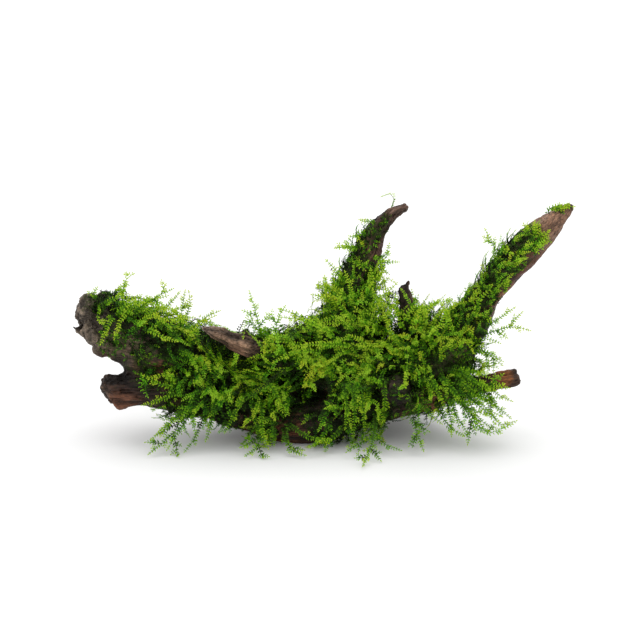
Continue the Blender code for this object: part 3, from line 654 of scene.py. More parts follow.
        ((66, -7, 47), (71, -9, 51), (76.7, -10, 55.6)),
        ((92, -10, 95.6), (95.5, -11, 96.6), (98.6, -11, 96.6)),
        ((90, -10, 95), (93, -11, 96.6), (96.5, -11, 96.9)),
    ),
}
# A thin thread on the spike's tip: its mat, its leaves' size, and the points of its stem
THREAD_MAT = "moss_middle_spike"
THREAD_LEAF = 0.55
THREAD_STEM = (
    (27.9, 15, 88.3),
    (29.4, 15, 92.4),
    (30.2, 15, 96.2),
    (27.4, 14, 96.8),
    (24.5, 13, 95.8),
)

# Where the fronds grow thinly, as (x, y, z), reach, and the share of them that is left out
THIN_SPOTS = (
    ((-97, -2, 46), 14, 1.0),
    ((-91, -7, 47), 11, 1.0),
    ((-93, 2, 56), 8, 1.0),
    ((-93, -6, 40), 10, 1.0),
    ((-80, -9, 40), 14, 0.97),
    ((-68, -13, 33), 11, 0.9),
    ((-60, -14, 28), 9, 0.85),
    ((-68, -14, 19), 14, 1.0),
    ((-30, -16, 8), 14, 0.92),
    ((-48, -15, 12), 9, 0.8),
    ((-8, -17, 6), 13, 0.9),
    ((-4, -10, 19.2), 8.5, 0.97),
    ((5, -16, 13), 9, 0.8),
    ((57.5, -9, 35), 6, 0.9),
    ((30.5, -16, 23), 10, 0.9),
    ((42, -14, 15), 13, 0.97),
    ((54, -12, 18), 10, 0.97),
    ((72, -8, 26), 13, 0.97),
    ((23, 6, 81), 10, 0.95),
    ((18, 6, 73), 9, 0.85),
    ((14, 4, 64), 9, 0.6),
    ((34, 1, 60), 11, 1.0),
    ((58, -10, 38), 6, 0.7),
    ((64, -9, 48), 6, 0.8),
    ((64, -7, 40), 7, 0.8),
    ((69, -5, 52), 7, 1.0),
    ((74, -7, 59), 7, 1.0),
    ((80, -9, 67), 7, 1.0),
    ((86, -10, 75), 8, 1.0),
    ((82, -12, 73), 8, 0.96),
    ((91, -11, 83), 7, 1.0),
    ((88, -12, 79), 7, 0.97),
    ((-63, -15, 23), 8, 0.8),
    ((-4, -18, 12), 14, 0.62),
    ((14, -17, 11), 11, 0.6),
    ((-28, -17, 14), 12, 0.5),
)

# Where no frond of a mat may reach, as (x, y, z) and reach
BARE_SPOTS = (
    ((-103, -3, 50), 10),
    ((-97, 4, 58), 6),
    ((35, -1, 69), 9),
    ((98, -9, 104), 8),
    ((-97, -8, 48), 8.5),
    ((-7.5, -14.5, 20), 4.8),
    ((-1, -14.5, 20), 5),
    ((-4.5, -20, 20.5), 4.6),
    ((-88, -2, 66), 5.5),
    ((-85, 4, 65), 6),
    ((-5, 6, 55), 4.5),
    ((42, 2, 59.5), 4.5),
    ((-34, -2, 51), 6),
    ((-95, -7, 56), 5.5),
    ((-17, -4, 48.5), 5.5),
    ((-20, 5, 49), 6),
    ((69, -10, 35.5), 5.5),
    ((84, -14, 73.5), 4),
    ((88, -13, 78.5), 3.5),
    ((79, -13, 68.5), 3.5),
    ((-64, -17, 31), 3.6),
    ((-73, -3, 61), 4.5),
    ((-36, 6, 50), 6),
    ((-38.5, -11, 53), 6.5),
    ((-32.5, -5, 48.5), 3.8),
    ((-75, -15, 31), 4.5),
    ((-7, 10, 52), 3.5),
    ((-39, -9, 3), 4.5),
    ((-68, -10, 10.5), 3),
    ((66, -9, 31.5), 5),
    ((70, -10, 26.5), 5),
    ((70, -6, 45), 4.5),
    ((57.5, -13, 34.5), 4.2),
    ((49.5, -15, 18), 4),
)

# Painted shade and light on the moss: where it is darker, mostly shade in recesses and low on the front,
# or brighter, as (x, y, z), reach, and what is added to its brightness
PAINTED_SHADE_AND_LIGHT_SPOTS = (
    ((-50, -12, 24), 12, -0.14),
    ((-37, -13, 20), 13, -0.3),
    ((-31, -11, 25), 8, -0.1),
    ((-20, -14, 15), 14, -0.22),
    ((-30, -14, 14.5), 8, -0.12),
    ((-34, -12, 22), 6, -0.12),
    ((-84, 0, 57), 8, 0.22),
    ((8, 2, 60), 6, -0.12),
    ((21, 3, 62), 8, -0.12),
    ((24, -8, 46.5), 6, 0.2),
    ((56, -10, 30), 8, 0.12),
    ((-3, -14, 16), 14, -0.26),
    ((12, -15, 14), 13, -0.28),
    ((-74, -7, 50), 9, -0.1),
    ((28, -17, 20), 12, -0.2),
    ((35, -12, 38), 10, -0.2),
    ((50, -11, 40), 12, 0.3),
    ((-68, -7, 50), 12, -0.08),
    ((25, -7, 50), 9, 0.2),
    ((-66, -12, 24), 7, -0.14),
    ((-42, -12, 22), 8, -0.08),
    ((14, 5, 67), 9, 0.1),
    ((41, -13, 35), 7, -0.15),
    ((4, -12, 46), 13, 0.2),
    ((42, -15, 24), 9, -0.1),
)

# Where the moss is of a cooler or warmer green, as (x, y, z), reach, and the tint from 0 to 1
PLAIN_TINT = 0.44
TINT_SPREAD = 0.22
TINT_SPOTS = (
    ((-76, -5, 49), 18, 0.2),
    ((-40, -12, 26), 17, 0.28),
    ((52, -10, 38), 14, 0.66),
    ((26, -8, 48), 10, 0.62),
)

# Where the moss is lower or higher than its solid's top, as (x, y, z), reach, and the share
HEIGHT_SPOTS = (
    ((-24, -4, 42), 14, 0.4),
    ((-14, -3, 45), 9, 0.4),
    ((-84, -2, 58), 9, 0.4),
    ((-66, -5, 50), 11, 1.25),
    ((64, -5, 42), 8, 0.5),
    ((2, 4, 56), 10, 0.7),
    ((72, -5, 80), 9, 1.5),
    ((45, -3, 50), 10, 1.2),
)

# Layers of the mats. Spacing lies between roots, in mm. Length is a share of the combed length, and level
# a share of the mat's height. Tones are the brightness at root and tip: lower layers and roots are darker,
# partly as older moss and partly as painted shade deep in the mat, and shade_spread is how much it differs
# from frond to frond. Spread is how far fronds turn from the combing, in radians. Leaf is the size of the
# leaves, hug how firmly fronds keep to their height, droop how much they hang, and thinning how far the
# thin spots apply. Branches says whether they have side branches.
LAYERS = (
    # Short dark fronds at the bottom: partly older moss, partly painted shade deep in the mat
    dict(
        spacing=1.9, length=(0.35, 0.6), level=(0.1, 0.45), tones=(-0.05, 0.13), shade_spread=0.04,
        spread=1.4, leaf=1.1, hug=0.5, droop=0.02, thinning=0.7, branches=False,
    ),
    # The mat's inside
    dict(
        spacing=2.4, length=(0.6, 1.0), level=(0.35, 0.8), tones=(-0.06, 0.34), shade_spread=0.09,
        spread=0.9, leaf=0.95, hug=0.5, droop=0.03, thinning=0.92, branches=False,
    ),
    # The fronds that make the mat's surface
    dict(
        spacing=2.1, length=(0.8, 1.4), level=(0.65, 1.15), tones=(-0.04, 0.78), shade_spread=0.16,
        spread=0.42, leaf=0.98, hug=0.4, droop=0.05, thinning=1.0, branches=False,
    ),
    # Bright branched fronds that lie over it
    dict(
        spacing=3.1, length=(1.1, 1.75), level=(1.0, 1.5), tones=(0.22, 1.14), shade_spread=0.13,
        spread=0.36, leaf=1.06, hug=0.12, droop=0.12, thinning=1.0, branches=True,
    ),
)
# The smallest shoots, which grow on the film between the mats, with length and level in mm
FILM_LAYER = dict(
    spacing=1.5, length=(1.2, 2.6), level=(0.3, 0.6), tones=(0.18, 0.64), shade_spread=0.12,
    spread=1.6, leaf=0.62, hug=0.5, droop=0.0,
)
# The least strength of the film that carries them, and the thinning that bares the mats' wood to them
LEAST_FILM = 0.42
FILM_ON_THIN = 0.4

# A mat's height over the wood is found along its normal: how far below the surface the search starts, how
# far it looks, its step past each hit, the hits that it takes, and the height from which a place is covered
COVER_START = 0.5
COVER_REACH = 12
COVER_STEP = 0.02
COVER_HITS = 4
LEAST_COVER = 0.8

# Growth of a frond: its points, how steeply it starts, how it curls and wanders, and how it follows the
# combing. It starts from a share of its height, and keeps a share of its last up side at each point.
PATH_POINTS = 9
FROND_RISE = 0.5
FROND_CURL = 0.09
FROND_WANDER = 0.08
COMB_PULL = 0.25
ROOT_HEIGHT = 0.3
UP_SHARE = 0.5
# Its least and greatest height, the share of its length that its ends must be apart, and its leaves' sizes
FROND_HEIGHTS = (0.5, 7)
LEAST_STRAIGHT = 0.66
FROND_LEAF = (0.88, 1.1)
# The combing of a place is that of the places near it, and this softens the change between them
COMB_SOFTNESS = 4

# Leaves: their sizes, and how they stand on the stem
LEAF_LENGTH = 1.32
LEAF_WIDTH = 0.58
LEAF_SPACING = 0.95
LEAF_START = 0.6
LEAF_JITTER = 0.2
LEAF_ANGLE = math.radians(54)
LEAF_ANGLE_SPREAD = 0.1
LEAF_LIFT = 0.1
LEAF_LIFT_SPREAD = 0.12
LEAF_TILT = 0.2
LEAF_TAPER = 0.4
LEAF_SIZES = (0.8, 1.15)
TIP_LEAF = 0.75
# Shares of a leaf's length: where it is widest, how far it is folded, and how far its tip hangs
LEAF_WIDEST = 0.48
LEAF_FOLD = 0.14
LEAF_HANG = 0.12
# A leaf's two triangles by their corners, and each corner's place in the palette map, in steps
LEAF_FACES = ((0, 1, 2), (0, 2, 3))
LEAF_CELLS = ((0, 0), (1, 1), (2, 0), (1, -1))

# Stems: radii, the share of the radius left at the tip, sides, and the steps between the points used
STEM_RADIUS = 0.19
SINGLE_STEM_RADIUS = 0.27
BRANCH_RADIUS = 0.14
STEM_TAPER = 0.45
STEM_SIDES = 3
STEM_STEP = 2
BRANCH_STEP = 4

# Side branches of the branched fronds and of the long shoots. Start, end and jitter are in spacings.
BRANCH_SPACING = 7
SHOOT_BRANCH_SPACING = 4
BRANCH_LENGTH = 2.6
SHOOT_BRANCH_LENGTH = 3.3
BRANCH_POINTS = 5
BRANCH_START = 0.7
BRANCH_END = 0.6
BRANCH_JITTER = 0.25
BRANCH_ANGLE = math.radians(48)
BRANCH_ANGLE_SPREAD = 0.15
BRANCH_LIFT = 0.05
BRANCH_LIFT_SPREAD = 0.2
BRANCH_SIZES = (0.6, 1.25)
BRANCH_TAPER = 1.02
LEAST_BRANCH = 0.05
BRANCH_BEND = 0.16
BRANCH_LEAF = 0.92
BRANCH_TONE = 0.2

# Single fronds lie this far above the mats, a mat further back isn't theirs, and a stem that begins further
# from the wood than the gap is led to it
SINGLE_CLEARANCE = 2.4
FARTHEST_MAT = 14
LEAST_ROOT_GAP = 1.2
# The sizes of their leaves, their tint and its spread, and how far their leaves turn away from the wood
SINGLE_LEAF = (1.08, 1.26)
SINGLE_TINT = (0.58, 0.1)
AWAY_SHARE = 0.3
# Long shoots' branches hang and wander a little
SHOOT_DROOP = 0.08
SHOOT_WANDER = 0.08
# The step of the curve through a stem's stations, the last spot before its end, and the least height
PATH_STEP = 0.5
BEFORE_END = 1e-6
LOWEST_LEAF = 0.15

# Brightness: of the shoots at root and tip, of stems, from leaf to leaf, and across a leaf
SHOOT_TONES = (0.42, 1.02)
SINGLE_TONES = (0.42, 1.02)
SINGLE_TONE_SPREAD = 0.05
STEM_TONE = 0.72
LEAF_TONE_SPREAD = 0.065
LEAF_SHADE = 0.16
TIP_TONE = 0.05
# Painted shade: shoots are darker near the ground and a little brighter high up: heights, and what they
# add to the brightness
PAINTED_SHADE_BY_HEIGHT = ((8, 45), (-0.2, 0.1))
# Patches of brighter and darker moss
PATCH_SIZE = 7
PATCH_TONE = 0.15
PATCH_SEED = 83
# Leaves are smaller where the mat is thin: heights of the mat, and the sizes
LEAF_BY_COVER = ((1.5, 5.5), (0.78, 1.03))

# Palette of the moss by brightness, as (place, linear RGB), and what the tint does to it
MOSS_RAMP = (
    (0.0, (0.009, 0.012, 0.003)),
    (0.25, (0.020, 0.048, 0.003)),
    (0.5, (0.068, 0.220, 0.005)),
    (0.75, (0.240, 0.510, 0.010)),
    (1.0, (0.500, 0.690, 0.040)),
)
COOL_GREEN = (0.68, 1.0, 0.9)
WARM_GREEN = (1.25, 0.97, 0.8)
TRANSLUCENT_SHARE = 0.3
LEAF_ROUGHNESS = 0.45
LEAF_GLOSS = 0.14
# The palette map: the share of it that is used, its margin, and the step between a leaf's corners
PALETTE_SHARE = 0.96
PALETTE_EDGE = 0.02
PALETTE_STEP = 0.004

# Numbers that mix the corners of the noise
CORNER_FACTORS = (73856093, 19349663, 83492791, 668265263)
MIXING_ROUNDS = ((15, 2246822519), (13, 3266489917))
LAST_SHIFT = 16
WHOLE_RANGE = 0xFFFFFFFF
HALF_RANGE = 0x7FFFFFFF
OCTAVES = 3
OCTAVE_APART = 17.3
TINY = 1e-9

rng = np.random.default_rng(SEED)


# Small helpers


def unit(vectors):
    return vectors / np.maximum(np.linalg.norm(vectors, axis=-1, keepdims=True), TINY)


def smoothstep(low, high, values):
    """0 at low and 1 at high, with level ends."""
    share = np.clip((values - low) / (high - low), 0, 1)
    return share * share * (3 - 2 * share)


def corner_values(cells, seed):
    """A number from -1 to 1 for each whole-numbered corner."""
    mixed_up = seed * CORNER_FACTORS[3]
    for k in range(3):
        mixed_up = mixed_up ^ (cells[..., k].astype(np.int64) * CORNER_FACTORS[k])
    for shift, factor in MIXING_ROUNDS:
        mixed_up = ((mixed_up ^ (mixed_up >> shift)) * factor) & WHOLE_RANGE
    return (mixed_up ^ (mixed_up >> LAST_SHIFT)) / HALF_RANGE - 1


def value_noise(points, seed):
    """Smooth noise from -1 to 1, one lump to a unit."""
    cells = np.floor(points)
    part = points - cells
    part = part * part * part * (part * (part * 6 - 15) + 10)
    total = np.zeros(len(points))
    for corner in np.ndindex(2, 2, 2):
        weight = np.prod(np.where(corner, part, 1 - part), axis=1)
        total += weight * corner_values(cells + corner, seed)
    return total


def layered_noise(points, seed):
    """Noise from -1 to 1 whose lumps have lumps of half their size on them."""
    total, weights = 0, 0
    for k in range(OCTAVES):
        total = total + value_noise(points * 2**k + OCTAVE_APART * k, seed + k) / 2**k
        weights += 1 / 2**k
    return total / weights


def add_object(name, mesh):
    obj = bpy.data.objects.new(name, mesh)
    bpy.context.scene.collection.objects.link(obj)
    return obj


def take_mesh(obj):
    """The object's mesh with its modifiers applied. The object is removed."""
    bpy.context.view_layer.update()
    graph = bpy.context.evaluated_depsgraph_get()
    mesh = bpy.data.meshes.new_from_object(obj.evaluated_get(graph))
    bpy.data.objects.remove(obj)
    return mesh


def mesh_from(bm, name):
    mesh = bpy.data.meshes.new(name)
    bmesh.ops.recalc_face_normals(bm, faces=bm.faces)
    bm.to_mesh(mesh)
    bm.free()
    return mesh


def read_values(items, name, width=3):
    """The named value of every item, with a row to each."""
    values = np.empty(len(items) * width)
    items.foreach_get(name, values)
    return values.reshape(-1, width)


def set_points(mesh, points):
    mesh.vertices.foreach_set("co", points.ravel())
    mesh.update()


def put_attribute(mesh, name, kind, values):
    made = mesh.attributes.new(name, kind, "POINT")
    made.data.foreach_set({"FLOAT": "value", "FLOAT_VECTOR": "vector"}[kind], np.ravel(values))


# The wood's shape


def smooth_line(stations, step):
    """Points (place, radius) on a smooth curve through stations of (x, y, z, radius)."""
    knots = [(Vector(s[:3]), s[3]) for s in stations]
    first = (2 * knots[0][0] - knots[1][0], knots[0][1])
    last = (2 * knots[-1][0] - knots[-2][0], knots[-1][1])
    knots = [first, *knots, last]
    line = []
    for (p0, r0), (p1, r1), (p2, r2), (p3, r3) in zip(knots, knots[1:], knots[2:], knots[3:]):
        count = max(2, round((p2 - p1).length / step))
        for k in range(count):
            t = k / count
            w0 = -0.5 * t + t * t - 0.5 * t**3
            w1 = 1 - 2.5 * t * t + 1.5 * t**3
            w2 = 0.5 * t + 2 * t * t - 1.5 * t**3
            w3 = -0.5 * t * t + 0.5 * t**3
            place = w0 * p0 + w1 * p1 + w2 * p2 + w3 * p3
            line.append((place, w0 * r0 + w1 * r1 + w2 * r2 + w3 * r3))
    line.append(knots[-2])
    return line


def ring_frames(line):
    """(forward, side, up) at each point of a line, each turned as little as possible from the last."""
    frames = []
    side = None
    for i in range(len(line)):
        ahead = line[min(i + 1, len(line) - 1)][0]
        behind = line[max(i - 1, 0)][0]
        forward = (ahead - behind).normalized()
        if side is None:
            level = Vector((0, 0, 1)) if abs(forward.z) < STEEP else Vector((0, 1, 0))
            side = forward.cross(level)
        side = (side - forward * side.dot(forward)).normalized()
        frames.append((forward, side, forward.cross(side)))
    return frames


def skin_rings(bm, rings):
    """Side faces between rings of vertices, and a fan over each end."""
    for low, high in zip(rings, rings[1:]):
        for k in range(len(low)):
            n = (k + 1) % len(low)
            bm.faces.new((low[k], low[n], high[n], high[k]))
    for ring in (rings[0], rings[-1]):
        middle = bm.verts.new(sum((v.co for v in ring), Vector()) / len(ring))
        for k in range(len(ring)):
            bm.faces.new((ring[k], ring[(k + 1) % len(ring)], middle))


def limb(bm, stations, ridges, ridge_depth, seed, rounded):
    """A swept limb with ridged and lumpy sides, as weathered roots have."""
    line = smooth_line(stations, RING_STEP)
    frames = ring_frames(line)
    if rounded:
        (tip, radius), forward = line[-1], frames[-1][0]
        for share in ROUND_END:
            line.append((tip + forward * radius * share, radius * math.sqrt(1 - share * share)))
            frames.append(frames[-1])
    rings = []
    for i, ((place, radius), (_, side, up)) in enumerate(zip(line, frames)):
        ring = []
        for k in range(RING_SIDES):
            angle = 2 * math.pi * k / RING_SIDES
            way = side * math.cos(angle) + up * math.sin(angle)
            groove = (1 - abs(math.sin(ridges * (angle + RIDGE_TWIST * i) / 2 + seed))) ** 2
            lump = noise.noise((place + way * radius) * WOOD_LUMPS + Vector((seed, 0, 0)))
            swell = 1 - ridge_depth * groove + WOOD_LUMP_SHARE * lump
            ring.append(bm.verts.new(place + way * radius * swell))
        rings.append(ring)
    skin_rings(bm, rings)


def burl(bm, place, radius):
    """A lumpy ball."""
    made = bmesh.ops.create_icosphere(bm, subdivisions=BURL_DIVISIONS, radius=radius)
    for v in made["verts"]:
        lump = noise.noise(v.co / radius + place / radius)
        v.co = place + v.co * (1 + BURL_LUMP_SHARE * lump)


def wood_surface():
    """The limbs and burls as one fine closed surface."""
    bm = bmesh.new()
    for stations, ridges, depth, seed, rounded in LIMBS:
        limb(bm, stations, ridges, depth, seed, rounded)
    for *place, radius in BURLS:
        burl(bm, Vector(place), radius)
    obj = add_object("wood", mesh_from(bm, "wood"))
    remesh = obj.modifiers.new("fuse", "REMESH")
    remesh.mode = "VOXEL"
    remesh.voxel_size = WOOD_VOXEL
    smooth = obj.modifiers.new("smooth", "SMOOTH")
    smooth.factor = SMOOTHING_FACTOR
    smooth.iterations = WOOD_SMOOTHING
    return take_mesh(obj)


class LimbLine:
    """A limb's centre line as arrays, with the frame that its grain follows."""

    def __init__(self, stations):
        line = smooth_line(stations, GRAIN_STEP)
        frames = ring_frames(line)
        self.places = np.array([place for place, _ in line])
        self.radii = np.array([radius for _, radius in line])
        self.forward, self.side, self.up = (np.array([f[k] for f in frames]) for k in range(3))
        steps = np.linalg.norm(np.diff(self.places, axis=0), axis=1)
        self.along = np.concatenate([[0], np.cumsum(steps)])

    def nearest(self, points):
        """The number of the line's point that is nearest to each point, found in parts to save memory."""
        numbers = np.empty(len(points), int)
        for part in np.array_split(np.arange(len(points)), SEARCH_PARTS):
            gaps = ((points[part, None] - self.places[None]) ** 2).sum(axis=2)
            numbers[part] = gaps.argmin(axis=1)
        return numbers

    def grain(self, points):
        """Distance from the centre line over the radius, and the place in the straightened limb."""
        near = self.nearest(points)
        offset = points - self.places[near]
        ways = (self.side[near], self.up[near], self.forward[near])
        place = np.stack([(offset * way).sum(axis=1) for way in ways], axis=1)
        place[:, 2] += self.along[near]
        return np.linalg.norm(offset, axis=1) / self.radii[near], place


def nearness(points, place, reach):
    """1 at the place, falling to 0 at its reach."""
    away = np.linalg.norm(points - np.array(place), axis=1) / reach
    return smoothstep(1, 0, away)


def carve(points, normals):
    """Grooves along the grain and gnarled lumps. Gives the new points, their depth and the grain."""
    ratios, depths, grains = [], [], []
    for number, (stations, depth, across, along) in enumerate(GRAIN):
        ratio, grain = LimbLine(stations).grain(points)
        bent = grain + GRAIN_BEND * value_noise(grain / GRAIN_BEND_SIZE, BEND_SEED + number)[:, None]
        size = np.array((across, across, along))
        coarse = value_noise(bent / size, number)
        fine = value_noise(bent / (size * FINE_SHARES), FINE_SEED + number)
        grooves = (1 - np.abs(fine)) ** FINE_SHARPNESS
        ratios.append(ratio)
        depths.append(depth * (COARSE_DEPTH * coarse - FINE_DEPTH * grooves))
        grains.append(grain + (0, 0, GRAIN_APART * number))
    ratios = np.array(ratios)
    weights = np.exp(-LIMB_BLEND * (ratios - ratios.min(axis=0)))
    weights /= weights.sum(axis=0)
    depth = (weights * np.array(depths)).sum(axis=0)
    depth += BARK_LUMP * layered_noise(points / BARK_LUMP_SIZE, BARK_SEED)
    depth += BOW * value_noise(points / BOW_SIZE, BOW_SEED)
    for place, reach, lump_depth, size in GNARLS:
        lumps = np.abs(layered_noise(points / size, GNARL_SEED)) * GNARL_RISE - GNARL_FLOOR
        depth += nearness(points, place, reach) * lump_depth * lumps
    grain = np.array(grains)[ratios.argmin(axis=0), np.arange(len(points))]
    return points + normals * depth[:, None], depth, grain


def sink_pits(points, normals):
    """Moves what lies inside a pit along its normal, down to the pit's floor."""
    for place, half_sizes in PITS:
        start = (points - place) / half_sizes
        way = -normals / half_sizes
        # The way meets the pit's far wall at the larger root of a t^2 + 2 b t + c = 0
        a = (way**2).sum(axis=1)
        b = (start * way).sum(axis=1)
        c = (start**2).sum(axis=1) - 1
        far = (-b + np.sqrt(np.maximum(b * b - a * c, 0))) / a
        points = np.where((c < 0)[:, None], points - normals * far[:, None], points)
    return points


def wood_colours(points):
    """The wood's colour at each point, blended from the spots that reach it."""
    total = np.full(len(points), PLAIN_WEIGHT)
    colours = np.outer(total, WOOD_COLOUR)
    for place, reach, colour in WOOD_SPOTS:
        weight = SPOT_WEIGHT * nearness(points, place, reach)
        total += weight
        colours += np.outer(weight, colour)
    return colours / total[:, None]


def film_cover(points, moss_tree):
    """How much moss film covers the wood, from 0 to 1."""
    away = np.array([moss_tree.find_nearest(p)[3] or 0 for p in map(Vector, points)])
    cover = FILM_UNDER_MATS * (1 - smoothstep(FILM_FULL, FILM_REACH, away))
    cover *= 1 - FILM_THINNING * thin_share(points)
    for place, reach, strength in FILM_SPOTS:
        cover = np.maximum(cover, strength * nearness(points, place, reach))
    return cover


# Parting the wood at its forks


def inside_cut(points, name, margin=0):
    """Whether each point lies in the fork's box, which runs along the limb, grown by the margin."""
    place, forward, half_width = FORKS[name]
    turn = np.array(Vector(forward).to_track_quat("Z", "Y").to_matrix())
    local = (points - np.array(place)) @ turn
    sides = (np.abs(local[:, :2]) < half_width + margin).all(axis=1)
    return sides & (local[:, 2] > -margin) & (local[:, 2] < FORK_REACH)


def islands(bm):
    """The number of each vertex's connected part, and how many parts there are."""
    bm.verts.index_update()
    labels = [-1] * len(bm.verts)
    count = 0
    for start in bm.verts:
        if labels[start.index] >= 0:
            continue
        labels[start.index] = count
        waiting = [start]
        while waiting:
            for edge in waiting.pop().link_edges:
                for v in edge.verts:
                    if labels[v.index] < 0:
                        labels[v.index] = count
                        waiting.append(v)
        count += 1
    return np.array(labels), count


def cut_planes(name):
    """The fork's own plane and the four sides of its box, as places and ways."""
    place, forward, half_width = FORKS[name]
    turn = Vector(forward).to_track_quat("Z", "Y")
    place, forward = Vector(place), Vector(forward).normalized()
    sides = [turn @ Vector(way) for way in ((1, 0, 0), (-1, 0, 0), (0, 1, 0), (0, -1, 0))]
    return [(place, forward), *((place + side * half_width, side) for side in sides)]


def face_centres(bm):
    return np.array([f.calc_center_median() for f in bm.faces])


def cut_forks(bm):
    """Cuts the surface round each fork's box, and parts it there."""
    for name in FORKS:
        near = inside_cut(face_centres(bm), name, CUT_BAND)
        faces = [f for f, is_near in zip(bm.faces, near) if is_near]
        for place, way in cut_planes(name):
            edges = dict.fromkeys(e for f in faces for e in f.edges)
            verts = dict.fromkeys(v for f in faces for v in f.verts)
            geometry = [*verts, *edges, *faces]
            cut = bmesh.ops.bisect_plane(
                bm, geom=geometry, dist=CUT_PRECISION, plane_co=place, plane_no=way
            )
            faces = [g for g in cut["geom"] if isinstance(g, bmesh.types.BMFace)]
        bm.faces.index_update()
        inside = inside_cut(face_centres(bm), name)
        rim = [e for e in bm.edges if len({bool(inside[f.index]) for f in e.link_faces}) == 2]
        bmesh.ops.split_edges(bm, edges=rim)


def island_homes(bm, labels, count):
    """The node of each island: by its fork's box, or for small ones by what they touch most."""
    places = np.array([v.co for v in bm.verts])
    sizes = np.bincount(labels, minlength=count)
    homes = {}
    for label in np.flatnonzero(sizes >= LARGE_ISLAND):
        own = places[labels == label]
        inside = {name: inside_cut(own, name, ISLAND_MARGIN).mean() for name in FORKS}
        best = max(inside, key=inside.get)
        homes[label] = best if inside[best] > LEAST_INSIDE else TRUNK_NODE
    touching = {}
    for v in bm.verts:
        if v.is_boundary:
            touching.setdefault(tuple(round(c, 3) for c in v.co), set()).add(labels[v.index])
    for label in np.flatnonzero(sizes < LARGE_ISLAND):
        met = [other for group in touching.values() if label in group for other in group]
        met = [homes[other] for other in met if other in homes]
        homes[label] = max(sorted(set(met)), key=met.count) if met else TRUNK_NODE
    return homes


def wood_parts(mesh):
    """The wood's mesh of each node, parted at the forks, with closed ends."""
    bm = bmesh.new()
    bm.from_mesh(mesh)
    cut_forks(bm)
    for edge in bm.edges:
        edge.smooth = not edge.is_boundary
    labels, count = islands(bm)
    homes = island_homes(bm, labels, count)
    rims = [e for e in bm.edges if e.is_boundary]
    caps = bmesh.ops.holes_fill(bm, edges=rims, sides=0)["faces"]
    bmesh.ops.triangulate(bm, faces=caps)
    made = {}
    for name in sorted(set(homes.values())):
        own = np.isin(labels, [label for label in homes if homes[label] == name])
        part = bm.copy()
        others = [v for v, keep in zip(part.verts, own) if not keep]
        bmesh.ops.delete(part, geom=others, context="VERTS")
        made[name] = mesh_from(part, name)
    bm.free()
    return made


# Node materials


def new_material(name):
    material = bpy.data.materials.new(name)
    material.use_nodes = True
    material.node_tree.nodes.clear()
    return material, material.node_tree


def fill_socket(tree, socket, value):
    """Sets the socket to a constant, or links another node's output to it."""
    if isinstance(value, bpy.types.NodeSocket):
        tree.links.new(value, socket)
    else:
        socket.default_value = value


def node(tree, kind, sockets=None, **settings):
    """A shader node. A socket's value is a constant or another node's output."""
    made = tree.nodes.new(kind)
    for key, value in settings.items():
        setattr(made, key, value)
    for key, value in (sockets or {}).items():
        fill_socket(tree, made.inputs[key], value)
    return made


def attribute(tree, name, output="Fac"):
    return node(tree, "ShaderNodeAttribute", attribute_name=name).outputs[output]


def pattern(tree, vector, scale, detail, roughness, distortion=0):
    """Noise from 0 to 1, with its own scale along each axis."""
    place = node(tree, "ShaderNodeMapping", {"Vector": vector, "Scale": scale}).outputs["Vector"]
    sockets = {
        "Vector": place,
        "Scale": 1,
        "Detail": detail,
        "Roughness": roughness,
        "Distortion": distortion,
    }
    return node(tree, "ShaderNodeTexNoise", sockets).outputs["Fac"]


def remap(tree, value, low, high, to_low=0, to_high=1):
    """The value's place between low and high, brought between two other values and held there."""
    sockets = {
        "Value": value,
        "From Min": low,
        "From Max": high,
        "To Min": to_low,
        "To Max": to_high,
    }
    return node(tree, "ShaderNodeMapRange", sockets, clamp=True).outputs["Result"]


def calc(tree, operation, first, second):
    return node(tree, "ShaderNodeMath", {0: first, 1: second}, operation=operation).outputs[0]


def mixed(tree, share, first, second, blend="MIX"):
    """Two colours mixed, each a triple or another node's output."""
    made = node(tree, "ShaderNodeMix", {0: share}, data_type="RGBA", blend_type=blend)
    for key, value in ((6, first), (7, second)):
        fill_socket(tree, made.inputs[key], (*value, 1) if isinstance(value, tuple) else value)
    return made.outputs[2]


def show_surface(tree, shader):
    node(tree, "ShaderNodeOutputMaterial", {"Surface": shader})


def principled(tree, gloss, sockets):
    """The main shader, with its specular level and other sockets."""
    made = node(tree, "ShaderNodeBsdfPrincipled", sockets)
    made.inputs["Specular IOR Level"].default_value = gloss
    return made.outputs["BSDF"]


